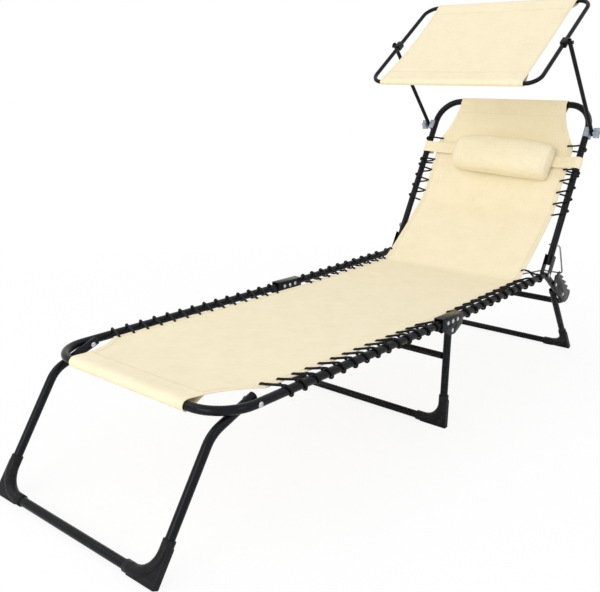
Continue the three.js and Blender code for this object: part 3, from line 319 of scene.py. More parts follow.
# Lamps, as (name, place, target, size, energy, colour)
LAMPS = (
    ("key", (-1.6, -2.2, 2.9), (0, 0, 0.35), (1.8, 1.8), 17, (1, 0.995, 0.98)),
    ("front", (0.5, -5.2, 1.9), (0, 0.5, 0.7), (2.4, 2.4), 70, (1, 1, 1)),
    ("side", (3.0, -0.6, 1.8), (0, 0, 0.35), (0.9, 2.0), 9, (0.94, 0.97, 1)),
)
FLOOR_SIZE = 24
FLOOR_DROP = 0.0004
FLOOR_WHITE = 0.97
FLOOR_GLOW = 0.86
FLOOR_NEAR = 0.8
FLOOR_FAR = 2.6

# Surfaces
GRAIN_DETAIL = 2
GRAIN_DEPTH = 0.0002
ROUGH_BELOW = 0.07
ROUGH_ABOVE = 0.08
WAVE_RADIANS = 20
PLAIT_PITCH = 0.0022
PLAIT_SLANT = 0.008
YARN_PITCH = 0.0009
WARP_SLUBS = (420, 26, 60)
WEFT_SLUBS = (26, 420, 60)
CLOUDS = (14, 14, 14)
YARN_DETAIL = 5
CLOUD_DETAIL = 4
SLUB_SHARE = 0.75
DARK_SHARES = (0.93, 0.915, 0.87)
LIGHT_SHARES = (1.03, 1.035, 1.06)

SIDES = (("right", 1), ("left", -1))


def centre(node):
    low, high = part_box(node)
    return (Vector(low) + Vector(high)) / 2


class Row:
    """A line in the side view: x is across, along runs up the row, and up is square off it."""

    def __init__(self, start, angle):
        self.start = Vector((0, start.y, start.z))
        self.along = Vector((0, math.cos(angle), math.sin(angle)))
        self.up = Vector((0, -math.sin(angle), math.cos(angle)))

    def at(self, x, along, up=0.0):
        return Vector((x, 0, 0)) + self.start + self.along * along + self.up * up

    def reach(self, point):
        return (point - self.start).dot(self.along)


def side_view(point, x=0.0):
    return Vector((x, point.y, point.z))


def row_between(first, first_along, second):
    line = second - first
    row = Row(first, math.atan2(line.z, line.y))
    row.start = row.start - row.along * first_along
    return row


fold = side_view(centre("leg_rivet_upper_right"))
hinge = side_view(centre("back_hinge_bolt_right"))
front_bolt = side_view(centre("front_leg_bolt_right"))
rear_bolt = side_view(centre("rear_leg_bolt_right"))
foot_pivot = side_view(centre("foot_pivot_rivet_right"))
seat_pivot = side_view(centre("seat_pivot_rivet_right"))
strut_foot = side_view(centre("canopy_knob_right"))
canopy_pin = side_view(centre("canopy_clip_right"))
RAIL_X = centre("fold_bracket_right").x
FRONT_LEG_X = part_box("front_leg_frame")[1][0] - RAIL_RADIUS
REAR_LEG_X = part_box("rear_leg_frame")[1][0] - RAIL_RADIUS
STRUT_X = centre("canopy_strut_right").x

foot_row = row_between(front_bolt, FRONT_PIVOT_ALONG, foot_pivot)
seat_row = row_between(seat_pivot, FOLD_PIVOT_OFFSET, hinge)
back_row = Row(hinge, BACK_ANGLE)
canopy_row = Row(canopy_pin, CANOPY_ANGLE)
canopy_row.start = canopy_row.start - canopy_row.along * CANOPY_PIVOT_ALONG
FOOT_LENGTH = (fold - foot_row.start).length
SEAT_LENGTH = (hinge - seat_row.start).length


# Paths


def rounded(corners, bends, closed=False, step=BEND_STEP):
    """Points along a polyline with its inner corners rounded."""
    count = len(corners)
    points = []
    for i, here in enumerate(corners):
        if not closed and i in (0, count - 1):
            points.append(here.copy())
            continue
        into = (here - corners[i - 1]).normalized()
        out = (corners[(i + 1) % count] - here).normalized()
        bend = bends[i] if isinstance(bends, (list, tuple)) else bends
        turn = into.angle(out)
        start = here - into * bend * math.tan(turn / 2)
        side = (out - into * into.dot(out)).normalized()
        middle = start + side * bend
        steps = max(2, round(turn / step))
        for k in range(steps + 1):
            a = turn * k / steps
            points.append(middle - side * bend * math.cos(a) + into * bend * math.sin(a))
    return points


def smooth_line(points, step):
    """A smooth line through the points, at even steps, also where the points lie unevenly."""
    ends = [points[0] * 2 - points[1], *points, points[-1] * 2 - points[-2]]
    spans = [(b - a).length for a, b in zip(ends, ends[1:])]
    slopes = []
    for i in range(1, len(ends) - 1):
        before = (ends[i] - ends[i - 1]) / spans[i - 1]
        after = (ends[i + 1] - ends[i]) / spans[i]
        slopes.append((before * spans[i] + after * spans[i - 1]) / (spans[i] + spans[i - 1]))
    fine = []
    for i, (b, c) in enumerate(zip(points, points[1:])):
        span = spans[i + 1]
        pieces = max(2, math.ceil(span / (step / 4)))
        for k in range(pieces):
            t = k / pieces
            rest = 1 - t
            pull = slopes[i] * t * rest * rest - slopes[i + 1] * t * t * rest
            fine.append(b * (1 + 2 * t) * rest * rest + c * t * t * (3 - 2 * t) + pull * span)
    fine.append(points[-1].copy())
    return even(fine, step)


def lengths_along(points):
    """The path's length up to each of its points."""
    lengths = [0.0]
    for a, b in zip(points, points[1:]):
        lengths.append(lengths[-1] + (b - a).length)
    return lengths


def even(points, step):
    lengths = lengths_along(points)
    count = max(2, round(lengths[-1] / step))
    out = []
    i = 0
    for k in range(count + 1):
        want = lengths[-1] * k / count
        while i < len(points) - 2 and lengths[i + 1] < want:
            i += 1
        span = lengths[i + 1] - lengths[i]
        out.append(points[i].lerp(points[i + 1], (want - lengths[i]) / span if span else 0))
    return out


def even_shares(count):
    return [2 * k / count - 1 for k in range(count + 1)]


def mirrored(points):
    return [Vector((-p.x, p.y, p.z)) for p in points]


def u_corners(row, half, start, end):
    """The corners of a tube that runs from start to end of a row, across it and back."""
    places = ((half, start), (half, end), (-half, end), (-half, start))
    return [row.at(x, along) for x, along in places]


def half_round(row, along, radius, angle, steps):
    """A cloth's places half round a bar, from an angle on."""
    angles = [angle - math.pi * k / steps for k in range(steps + 1)]
    return [row.at(0, along + radius * math.cos(a), radius * math.sin(a)) for a in angles]


# Mesh pieces


def mesh_piece(name, vertices, faces, material, uvs=None, sharp=SHARP):
    mesh = bpy.data.meshes.new(name)
    mesh.from_pydata([tuple(v) for v in vertices], [], faces)
    if uvs is not None:
        layer = mesh.uv_layers.new(name="UVMap")
        index = np.empty(len(mesh.loops), int)
        mesh.loops.foreach_get("vertex_index", index)
        layer.data.foreach_set("uv", np.asarray(uvs, np.float32)[index].ravel())
    mesh.shade_smooth()
    mesh.set_sharp_from_angle(angle=math.radians(sharp))
    mesh.materials.append(material)
    piece = bpy.data.objects.new(name, mesh)
    bpy.context.scene.collection.objects.link(piece)
    return piece


def skin(starts, sides, closed=False, flip=False):
    """Faces over rings of vertices that start at these indices, with caps on an open end."""
    faces = []
    pairs = list(zip(starts, starts[1:]))
    if closed:
        pairs.append((starts[-1], starts[0]))
    for a, b in pairs:
        for k in range(sides):
            m = (k + 1) % sides
            faces.append((a + k, b + k, b + m, a + m) if flip else (a + k, a + m, b + m, b + k))
    if not closed:
        first = tuple(starts[0] + k for k in range(sides))
        last = tuple(starts[-1] + k for k in range(sides))
        faces += [first, last[::-1]] if flip else [first[::-1], last]
    return faces


def frames_along(points, closed=False):
    """A place, a tangent, a normal and a side for each point of a path, without twist."""
    count = len(points)
    tangents = []
    for i in range(count):
        a = points[i - 1] if closed or i else points[0]
        b = points[(i + 1) % count] if closed or i < count - 1 else points[-1]
        tangents.append((b - a).normalized())
    first = tangents[0]
    guess = Vector((0, 0, 1)) if abs(first.z) < STEEP else Vector((0, 1, 0))
    normal = (guess - first * guess.dot(first)).normalized()
    out = []
    for p, t in zip(points, tangents):
        normal = (normal - t * normal.dot(t)).normalized()
        out.append((p, t, normal, t.cross(normal)))
    return out


def swept(points, radius, sides, closed=False, wall=0.0, radii=None):
    """Vertices, faces and uvs of a round tube along a path. With a wall its ends are open bores."""
    vertices, uvs, rings = [], [], []
    frames = frames_along(points, closed)
    lengths = lengths_along(points)

    def ring(place, normal, side, r, length):
        start = len(vertices)
        for k in range(sides):
            a = math.tau * k / sides
            vertices.append(place + normal * r * math.cos(a) + side * r * math.sin(a))
            uvs.append((k / sides, length))
        return start

    for i, (p, _, normal, side) in enumerate(frames):
        rings.append(ring(p, normal, side, radii[i] if radii else radius, lengths[i]))
    if wall:
        for end, direction in ((0, 1), (-1, -1)):
            p, t, normal, side = frames[end]
            lip = ring(p, normal, side, radius - wall, lengths[-1])
            deep = ring(p + t * direction * BORE_DEPTH, normal, side, radius - wall, lengths[-1])
            rings = [deep, lip, *rings] if end == 0 else [*rings, lip, deep]
    return vertices, skin(rings, sides, closed), uvs


def rod(name, points, radius, sides, material, closed=False, wall=0.0):
    """A round piece along a path."""
    vertices, faces, uvs = swept(points, radius, sides, closed, wall)
    return mesh_piece(name, vertices, faces, material, uvs)


def tube(node, body, points, radius, closed=False):
    """A powder-coated tube of the frame in place of its CAD node."""
    wall = 0.0 if closed else TUBE_WALL
    piece = rod(node + "_fine", points, radius, TUBE_SIDES, powder, closed, wall)
    return dress(piece, body, "frame", node)


def dress(piece, body, slot, *nodes):
    """Rides a piece on its body, in place of the CAD nodes."""
    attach(piece, body)
    if nodes:
        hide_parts(*nodes)
    return piece


def turned(name, profile, place, material):
    """A turned piece about X. The profile is (x, radius) from one end to the other."""
    vertices = []
    for x, r in profile:
        for k in range(TURNED_SIDES):
            a = math.tau * k / TURNED_SIDES
            vertices.append(place + Vector((x, r * math.cos(a), r * math.sin(a))))
    faces = skin(range(0, len(vertices), TURNED_SIDES), TURNED_SIDES, flip=True)
    return mesh_piece(name, vertices, faces, material, sharp=SHARP_TURNED)


def sagging_row(place, normal, half, shares, sag, off=0.0):
    """Places across a cloth that sags between its sides."""
    row = []
    for share in shares:
        low = place - normal * (sag * (1 - share * share))
        row.append(Vector((half * share + off, low.y, low.z)))
    return row


def cloth_piece(name, grid, thickness, material, uv):
    """A sheet with two faces and a rim, from rows of places. Thickness is given for each place."""
    rows, columns = len(grid), len(grid[0])
    places = np.array([[tuple(p) for p in row] for row in grid])
    along = np.gradient(places, axis=0)
    across = np.gradient(places, axis=1)
    normals = np.cross(across, along)
    normals /= np.linalg.norm(normals, axis=2)[:, :, None]
    half = np.asarray(thickness)[:, :, None] / 2
    top = (places + normals * half).reshape(-1, 3)
    under = (places - normals * half).reshape(-1, 3)
    total = rows * columns
    faces = []
    for i in range(rows - 1):
        for k in range(columns - 1):
            a = i * columns + k
            faces.append((a, a + 1, a + columns + 1, a + columns))
            b = a + total
            faces.append((b, b + columns, b + columns + 1, b + 1))
    for i in range(rows - 1):
        left = i * columns
        right = left + columns - 1
        faces.append((left, left + columns, left + columns + total, left + total))
        faces.append((right, right + total, right + columns + total, right + columns))
    for k in range(columns - 1):
        far = (rows - 1) * columns + k
        faces.append((k, k + total, k + 1 + total, k + 1))
        faces.append((far, far + 1, far + 1 + total, far + total))
    flat = np.asarray(uv, float).reshape(-1, 2)
    uvs = np.vstack((flat, flat))
    return mesh_piece(name, np.vstack((top, under)), faces, material, uvs, SHARP_CLOTH)


def softened(node, body, slot, material, width):
    """A copy of a rigid CAD node with its flats cleaned and its edges rounded."""
    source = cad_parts[node]
    mesh = source.data.copy()
    piece = bpy.data.objects.new(node + "_fine", mesh)
    piece.matrix_world = source.matrix_world.copy()
    bpy.context.scene.collection.objects.link(piece)
    shape = bmesh.new()
    shape.from_mesh(mesh)
    bmesh.ops.remove_doubles(shape, verts=shape.verts, dist=WELD)
    bmesh.ops.dissolve_limit(
        shape,
        angle_limit=FLAT_ANGLE,
        verts=shape.verts,
        edges=shape.edges,
        use_dissolve_boundaries=False,
    )
    sharp = [e for e in shape.edges if e.is_manifold and e.calc_face_angle(0) > EDGE_ANGLE]
    bmesh.ops.bevel(
        shape,
        geom=sharp,
        offset=width,
        offset_type="OFFSET",
        segments=2,
        profile=0.5,
        affect="EDGES",
        clamp_overlap=True,
    )
    shape.to_mesh(mesh)
    shape.free()
    mesh.shade_smooth()
    mesh.set_sharp_from_angle(angle=math.radians(SHARP_RIGID))
    mesh.materials.clear()
    mesh.materials.append(material)
    return dress(piece, body, slot, node)


# Materials


class Paint:
    """A material with a Principled shader and short calls for its procedural parts."""

    def __init__(self, name, colour, roughness, metallic=0.0):
        self.material = bpy.data.materials.new(name)
        self.material.use_nodes = True
        self.tree = self.material.node_tree
        self.shader = self.tree.nodes["Principled BSDF"]
        self.set("Base Color", (*colour, 1))
        self.set("Roughness", roughness)
        self.set("Metallic", metallic)

    def set(self, socket, value):
        self.shader.inputs[socket].default_value = value

    def node(self, kind, **values):
        made = self.tree.nodes.new(kind)
        for key, value in values.items():
            if key in made.inputs:
                made.inputs[key].default_value = value
            else:
                setattr(made, key, value)
        return made

    def link(self, out, into):
        self.tree.links.new(out, into)

    def texture(self, kind, stretch, space, **values):
        """The value of a texture over the stretched coordinates of a space."""
        where = self.node("ShaderNodeTexCoord")
        mapping = self.node("ShaderNodeMapping", Scale=stretch)
        made = self.node(kind, **values)
        self.link(where.outputs[space], mapping.inputs["Vector"])
        self.link(mapping.outputs["Vector"], made.inputs["Vector"])
        return made.outputs["Fac"]

    def noise(self, scale, detail=3.0, stretch=(1, 1, 1), space="Object"):
        return self.texture("ShaderNodeTexNoise", stretch, space, Scale=scale, Detail=detail)

    def waves(self, pitch, direction, space="UV"):
        scale = math.tau / (WAVE_RADIANS * pitch)
        return self.texture("ShaderNodeTexWave", direction, space, wave_profile="SIN", Scale=scale)

    def math(self, operation, a, b):
        made = self.node("ShaderNodeMath", operation=operation)
        for socket, value in zip(made.inputs, (a, b)):
            if isinstance(value, (int, float)):
                socket.default_value = value
            else:
                self.link(value, socket)
        return made.outputs["Value"]

    def between(self, value, low, high, low_in=0.3, high_in=0.7):
        ends = {"From Min": low_in, "From Max": high_in, "To Min": low, "To Max": high}
        made = self.node("ShaderNodeMapRange", **ends)
        self.link(value, made.inputs["Value"])
        return made.outputs["Result"]

    def colours(self, value, stops):
        ramp = self.node("ShaderNodeValToRGB")
        elements = ramp.color_ramp.elements
        while len(elements) < len(stops):
            elements.new(0.5)
        for element, (place, colour) in zip(elements, stops):
            element.position = place
            element.color = (*colour, 1)
        self.link(value, ramp.inputs["Fac"])
        return ramp.outputs["Color"]

    def bump(self, height, strength, distance):
        made = self.node("ShaderNodeBump", Strength=strength, Distance=distance)
        self.link(height, made.inputs["Height"])
        self.link(made.outputs["Normal"], self.shader.inputs["Normal"])

    def colour(self, value):
        self.link(value, self.shader.inputs["Base Color"])

    def roughness(self, value):
        self.link(value, self.shader.inputs["Roughness"])


def srgb(red, green, blue):
    def one(value):
        share = value / 255
        return share / 12.92 if share <= 0.04045 else ((share + 0.055) / 1.055) ** 2.4

    return one(red), one(green), one(blue)


def grained(name, base, stops, rough, patches, wear, grain, metallic=0.0, gloss=0.5):
    """A solid material with patches of colour, uneven roughness and a fine grain.

    Rough is the plain roughness with its least and most. Patches and wear are the scale and the
    detail of a noise, and grain is the scale of a noise and the strength of its bump.
    """
    plain, least, most = rough
    paint = Paint(name, base, plain, metallic)
    paint.set("Specular IOR Level", gloss)
    paint.colour(paint.colours(paint.noise(*patches), stops))
    paint.roughness(paint.between(paint.noise(*wear), least, most))
    scale, strength = grain
    paint.bump(paint.noise(scale, GRAIN_DETAIL), strength, GRAIN_DEPTH)
    return paint.material


def moulded(name, dark, light, rough=0.5, gloss=0.5):
    stops = ((0.3, dark), (0.75, light))
    span = (rough, rough - ROUGH_BELOW, rough + ROUGH_ABOVE)
    return grained(name, dark, stops, span, (60, 3), (180, 3), (1800, 0.2), gloss=gloss)


def cord_material():
    paint = Paint("elastic_cord", srgb(22, 21, 20), roughness=0.7)
    paint.set("Specular IOR Level", 0.2)
    one_way = paint.waves(PLAIT_PITCH, (PLAIT_SLANT, 1, 1))
    other_way = paint.waves(PLAIT_PITCH, (-PLAIT_SLANT, 1, 1))
    plait = paint.math("MULTIPLY", one_way, other_way)
    paint.colour(paint.colours(plait, [(0.1, srgb(12, 12, 12)), (0.8, srgb(34, 32, 28))]))
    paint.bump(plait, strength=0.5, distance=0.0004)
    return paint.material


def with_painted_hem_shade(paint, cloth, hem_shade_from):
    """The cloth's colour with painted shade: a little darker over the doubled side hem, for the shade
    at its fold.
    """
    where = paint.node("ShaderNodeTexCoord")
    apart = paint.node("ShaderNodeSeparateXYZ")
    paint.link(where.outputs["UV"], apart.inputs["Vector"])
    out = paint.math("ABSOLUTE", apart.outputs["X"], 0)
    shade = paint.between(out, 1, PAINTED_HEM_SHADE, hem_shade_from, hem_shade_from + HEM_EDGE)
    mixer = paint.node("ShaderNodeVectorMath", operation="SCALE")
    paint.link(cloth, mixer.inputs["Vector"])
    paint.link(shade, mixer.inputs["Scale"])
    return mixer.outputs["Vector"]


def canvas(name, base, space="UV", hem_shade_from=0.0):
    """Plain-weave canvas with slubs along both yarns. Past the given distance across, painted shade
    darkens the doubled side hem.
    """
    paint = Paint(name, base, roughness=0.85)
    paint.set("Sheen Weight", 0.12)
    paint.set("Sheen Roughness", 0.5)
    paint.set("Specular IOR Level", 0.25)
    warp = paint.noise(1, YARN_DETAIL, WARP_SLUBS, space)
    weft = paint.noise(1, YARN_DETAIL, WEFT_SLUBS, space)
    cloud = paint.noise(1, CLOUD_DETAIL, CLOUDS, space)
    darker = tuple(c * s for c, s in zip(base, DARK_SHARES))
    lighter = tuple(min(1, c * s) for c, s in zip(base, LIGHT_SHARES))
    slubs = paint.math("MULTIPLY", paint.math("ADD", warp, weft), 0.5)
    yarn = paint.math("MULTIPLY", slubs, SLUB_SHARE)
    mixed = paint.math("ADD", yarn, paint.math("MULTIPLY", cloud, 1 - SLUB_SHARE))
    cloth = paint.colours(mixed, [(0.36, darker), (0.5, base), (0.66, lighter)])
    paint.colour(with_painted_hem_shade(paint, cloth, hem_shade_from) if hem_shade_from else cloth)
    over = paint.waves(YARN_PITCH, (1, 0, 0), space)
    under = paint.waves(YARN_PITCH, (0, 1, 0), space)
    weave = paint.math("ADD", over, under)
    paint.bump(paint.math("ADD", weave, slubs), strength=0.3, distance=0.0003)
    paint.roughness(paint.between(slubs, 0.78, 0.92))
    return paint.material


powder = grained(
    "powder_coat",
    srgb(12, 14, 19),
    ((0.3, srgb(10, 12, 16)), (0.75, srgb(18, 21, 27))),
    rough=(0.26, 0.22, 0.3),
    patches=(26, 4),
    wear=(60, 3),
    grain=(1400, 0.12),
    gloss=0.15,
)
bright = grained(
    "bright_steel",
    srgb(205, 207, 210),
    ((0.3, srgb(176, 178, 182)), (0.8, srgb(222, 223, 226))),
    rough=(0.28, 0.2, 0.38),
    patches=(150, 3),
    wear=(500, 3),
    grain=(1500, 0.1),
    metallic=0.9,
)
wire = grained(
    "wire_steel",
    srgb(150, 152, 156),
    ((0.3, srgb(120, 122, 127)), (0.8, srgb(176, 178, 183))),
    rough=(0.34, 0.26, 0.45),
    patches=(90, 4),
    wear=(300, 3),
    grain=(900, 0.1),
    metallic=0.85,
)
cord_black = cord_material()
boot_plastic = moulded("boot_plastic", srgb(14, 14, 16), srgb(26, 27, 30), rough=0.42, gloss=0.16)
clamp_plastic = moulded("clamp_plastic", srgb(16, 17, 19), srgb(28, 30, 33), rough=0.42, gloss=0.2)
knob_plastic = moulded("knob_plastic", srgb(138, 150, 164), srgb(160, 171, 184), rough=0.42)
# Painted shade darkens this cloth over its side hems
sling_canvas = canvas("sling_canvas", srgb(243, 231, 199), hem_shade_from=SLING_HALF - SIDE_HEM)
# Painted shade: a darker copy of the canvas, standing in for the shade at a folded hem; it dresses the
# pillow's piping and seam
shaded_hem_canvas = canvas("shaded_hem_canvas", srgb(238, 224, 189))
pillow_canvas = canvas("pillow_canvas", srgb(245, 234, 203), "Object")
thread = moulded("sewing_thread", srgb(214, 200, 166), srgb(232, 220, 188), rough=0.75)


# Camera, light and floor


def add_camera():
    azimuth, elevation, roll = CAMERA_AZIMUTH, CAMERA_ELEVATION, CAMERA_ROLL
    level = math.cos(elevation)
    back = Vector((math.sin(azimuth) * level, -math.cos(azimuth) * level, math.sin(elevation)))
    right = Vector((0, 0, 1)).cross(back).normalized()
    up = back.cross(right)
    rolled_right = right * math.cos(roll) + up * math.sin(roll)
    rolled_up = up * math.cos(roll) - right * math.sin(roll)
    camera = bpy.data.objects.new("camera", bpy.data.cameras.new("camera"))
    turn = Matrix((rolled_right, rolled_up, back)).transposed().to_4x4()
    place = CAMERA_FROM_FOLD + Vector((0, fold.y, 0))
    camera.matrix_world = Matrix.Translation(place) @ turn
    camera.data.sensor_fit = "HORIZONTAL"
    camera.data.sensor_width = SENSOR
    camera.data.lens = LENS
    camera.data.clip_end = CAMERA_REACH
    bpy.context.scene.collection.objects.link(camera)
    bpy.context.scene.camera = camera


def add_lamp(name, place, target, size, energy, colour):
    lamp = bpy.data.lights.new(name, "AREA")
    lamp.shape = "RECTANGLE"
    lamp.size, lamp.size_y = size
    lamp.energy = energy
    lamp.color = colour
    item = bpy.data.objects.new(name, lamp)
    item.location = place
    item.rotation_euler = (Vector(target) - Vector(place)).to_track_quat("-Z", "Y").to_euler()
    bpy.context.scene.collection.objects.link(item)


def add_world():
    """White to the camera and to rays that mirror or pass, and a dimmer fill to all others."""
    world = bpy.data.worlds.new("studio")
    bpy.context.scene.world = world
    world.use_nodes = True
    nodes, links = world.node_tree.nodes, world.node_tree.links
    nodes.clear()
    mix = nodes.new("ShaderNodeMixShader")
    for socket, strength in ((1, WORLD_FILL), (2, 1.0)):
        background = nodes.new("ShaderNodeBackground")
        background.inputs["Color"].default_value = (1, 1, 1, 1)
        background.inputs["Strength"].default_value = strength
        links.new(background.outputs[0], mix.inputs[socket])
    path = nodes.new("ShaderNodeLightPath")
    share = path.outputs["Is Camera Ray"]
    for ray in ("Is Glossy Ray", "Is Transmission Ray"):
        larger = nodes.new("ShaderNodeMath")
        larger.operation = "MAXIMUM"
        links.new(share, larger.inputs[0])
        links.new(path.outputs[ray], larger.inputs[1])
        share = larger.outputs[0]
    links.new(share, mix.inputs["Fac"])
    out = nodes.new("ShaderNodeOutputWorld")
    links.new(mix.outputs[0], out.inputs["Surface"])


def add_floor():
    """A white floor with a soft shadow, which glows white to the camera farther off."""
    bpy.ops.mesh.primitive_plane_add(size=FLOOR_SIZE, location=(0, 0, -FLOOR_DROP))
    floor = bpy.context.object
    floor.name = "floor"
    paint = Paint("floor", [FLOOR_WHITE] * 3, roughness=0.9)
    paint.set("Specular IOR Level", 0.1)
    where = paint.node("ShaderNodeTexCoord")
    distance = paint.node("ShaderNodeVectorMath", operation="LENGTH")
    paint.link(where.outputs["Object"], distance.inputs[0])
    far = paint.between(distance.outputs["Value"], FLOOR_GLOW, 1, FLOOR_NEAR, FLOOR_FAR)
    path = paint.node("ShaderNodeLightPath")
    share = paint.math("MULTIPLY", far, path.outputs["Is Camera Ray"])
    mix = paint.node("ShaderNodeMixShader")
    paint.link(share, mix.inputs["Fac"])
    paint.link(paint.shader.outputs[0], mix.inputs[1])
    paint.link(paint.node("ShaderNodeEmission").outputs[0], mix.inputs[2])
    paint.link(mix.outputs[0], paint.tree.nodes["Material Output"].inputs["Surface"])
    floor.data.materials.append(paint.material)


def add_lights():
    for lamp in LAMPS:
        add_lamp(*lamp)
    bpy.context.scene.view_settings.view_transform = "Standard"


# Frame tubes


def add_frame_tubes():
    corners = u_corners(foot_row, RAIL_X, FOOT_LENGTH - FOLD_END_OFFSET, 0)
    tube("foot_rails", "foot_section", rounded(corners, CORNER_BEND), RAIL_RADIUS)

    drop = (rear_bolt - hinge).normalized()
    rear_bar = rear_bolt + drop * REAR_BAR_PAST_PIVOT
    first = seat_row.at(RAIL_X, FOLD_END_OFFSET)
    side = [first, side_view(hinge, RAIL_X), side_view(rear_bar, RAIL_X)]
    corners = side + mirrored(side[::-1])
    bends = [0, SEAT_DROP_BEND, REAR_BAR_BEND, REAR_BAR_BEND, SEAT_DROP_BEND, 0]
    tube("seat_rails", "seat_section", rounded(corners, bends), RAIL_RADIUS)

    corners = u_corners(back_row, RAIL_X, UPRIGHT_START, BACK_LENGTH)
    tube("back_frame", "backrest", rounded(corners, HEAD_BEND), UPRIGHT_RADIUS)


def front_leg_corners():
    start_y = foot_row.start.y
    bend = Vector((0, start_y + FRONT_LEG_BEND_ALONG, FRONT_LEG_BEND_Z))
    top = front_bolt + (front_bolt - bend).normalized() * LEG_PAST_PIVOT
    foot = Vector((0, start_y + FRONT_FOOT_ALONG, FOOT_TUBE_Z))
    side = [side_view(p, FRONT_LEG_X) for p in (top, bend, foot)]
    return side + mirrored(side[::-1])


def middle_leg_corners():
    side = [
        Vector((RAIL_X, fold.y, fold.z + MIDDLE_LEG_RISE)),
        Vector((RAIL_X, fold.y, FOOT_TUBE_Z)),
    ]
    return side + mirrored(side[::-1])


def rear_leg_corners():
    foot = Vector((0, rear_bolt.y + REAR_FOOT_PAST_BOLT, FOOT_TUBE_Z))
    top = rear_bolt + (rear_bolt - foot).normalized() * LEG_PAST_PIVOT
    side = [side_view(top, REAR_LEG_X), side_view(foot, REAR_LEG_X)]
    return side + mirrored(side[::-1])


def add_legs():
    bends = [0, FRONT_LEG_BEND, FOOT_BEND, FOOT_BEND, FRONT_LEG_BEND, 0]
    tube("front_leg_frame", "front_leg", rounded(front_leg_corners(), bends), RAIL_RADIUS)
    tube("middle_leg_frame", "middle_leg", rounded(middle_leg_corners(), FOOT_BEND), RAIL_RADIUS)
    tube("rear_leg_frame", "rear_leg", rounded(rear_leg_corners(), FOOT_BEND), RAIL_RADIUS)
    brace = centre("middle_leg_brace")
    reach = RAIL_X - RAIL_RADIUS
    path = even([side_view(brace, reach), side_view(brace, -reach)], BRACE_STEP)
    tube("middle_leg_brace", "middle_leg", path, BRACE_RADIUS)


def boot_web(foot, up, inward):
    """The flat web in a boot's corner, as vertices and faces. Its inner side follows the bend."""
    normal = up.cross(inward).normalized()
    reach, web = BOOT_REACH, BOOT_WEB
    hollow = rounded([Vector((web, 0, 0)), Vector(), Vector((0, web, 0))], FOOT_BEND, step=BOOT_STEP)
    outline = [(-reach, -reach), (web, -reach), *((p.x, p.y) for p in hollow), (-reach, web)]
    shape = bmesh.new()
    rim = []
    for a, b in outline:
        rim.append(shape.verts.new(foot + up * a + inward * b - normal * BOOT_WEB_HALF))
    grown = bmesh.ops.extrude_face_region(shape, geom=[shape.faces.new(rim)])
    moved = [v for v in grown["geom"] if isinstance(v, bmesh.types.BMVert)]
    bmesh.ops.translate(shape, verts=moved, vec=normal * 2 * BOOT_WEB_HALF)
    bmesh.ops.recalc_face_normals(shape, faces=shape.faces)
    bmesh.ops.bevel(
        shape,
        geom=shape.edges[:],
        offset=BOOT_EDGE,
        offset_type="OFFSET",
        segments=3,
        profile=0.6,
        affect="EDGES",
    )
    shape.verts.index_update()
    vertices = [v.co.copy() for v in shape.verts]
    faces = [tuple(v.index for v in f.verts) for f in shape.faces]
    shape.free()
    return vertices, faces


def add_boot(node, body, corners, index, side):
    foot = corners[index]
    up = (corners[index - 1] - foot).normalized()
    inward = Vector((-1, 0, 0))
    path = rounded([foot + up * BOOT_SLEEVE, foot, foot + inward * BOOT_SLEEVE], FOOT_BEND)
    lip = [path[0] + up * BOOT_LIP, *path, path[-1] + inward * BOOT_LIP]
    lip_radius = BOOT_RADIUS - BOOT_LIP_DROP
    radii = [lip_radius, *[BOOT_RADIUS] * len(path), lip_radius]
    vertices, faces, _ = swept(lip, BOOT_RADIUS, BOOT_SIDES, radii=radii)
    start = len(vertices)
    web, web_faces = boot_web(foot, up, inward)
    faces += [tuple(start + i for i in face) for face in web_faces]
    vertices = [Vector((v.x * side, v.y, max(v.z, 0.0))) for v in vertices + web]
    if side < 0:
        faces = [face[::-1] for face in faces]
    piece = mesh_piece(node + "_fine", vertices, faces, boot_plastic, sharp=SHARP_RIGID)
    dress(piece, body, "boots", node)


def add_boots():
    for word, side in SIDES:
        add_boot("front_boot_" + word, "front_leg", front_leg_corners(), 2, side)
        add_boot("middle_boot_" + word, "middle_leg", middle_leg_corners(), 1, side)
        add_boot("rear_boot_" + word, "rear_leg", rear_leg_corners(), 1, side)


def add_leg_caps():
    top, bend = front_leg_corners()[:2]
    out = (top - bend).normalized()
    for word, side in SIDES:
        path = [side_view(top, top.x * side) + out * height for height, _ in LEG_CAP_SHARES]
        radii = [RAIL_RADIUS * share for _, share in LEG_CAP_SHARES]
        vertices, faces, _ = swept(path, RAIL_RADIUS, TUBE_SIDES, radii=radii)
        piece = mesh_piece(f"front_leg_cap_{word}_fine", vertices, faces, boot_plastic)
        dress(piece, "front_leg", "boots", f"front_leg_cap_{word}")


# Rivets, bolts and pressed plates

RIVETS = {
    "foot_pivot_rivet": "middle_leg",
    "seat_pivot_rivet": "middle_leg",
    "leg_rivet_upper": "middle_leg",
    "leg_rivet_lower": "middle_leg",
    "ratchet_rivet": "seat_section",
    "rear_leg_bolt": "seat_section",
    "back_hinge_bolt": "seat_section",
    "front_leg_bolt": "foot_section",
}
# As (name, body, slot, material, width of the rounded edges)
FITTINGS = (
    ("fold_bracket", "middle_leg", "fittings", powder, 0.0007),
    ("ratchet_plate", "seat_section", "fittings", powder, 0.0006),
    ("back_hinge_clevis", "backrest", "fittings", powder, 0.0007),
    ("canopy_clamp", "backrest", "knobs", knob_plastic, 0.0022),
    ("canopy_clip", "canopy", "clamps", clamp_plastic, 0.0012),
)


def add_rivet(node, body):
    low, high = (Vector(p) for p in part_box(node))
    half = (high.x - low.x) / 2
    head = (high.z - low.z) / 2
    shank = head * RIVET_SHANK_SHARE
    shank_half = half - RIVET_CROWN_SHARES[-1][0]
    left = [(x - half, head * share) for x, share in RIVET_CROWN_SHARES]
    right = [(half - x, head * share) for x, share in reversed(RIVET_CROWN_SHARES)]
    profile = [*left, (-shank_half, shank), (shank_half, shank), *right]
    dress(turned(node + "_fine", profile, (low + high) / 2, bright), body, "rivets", node)


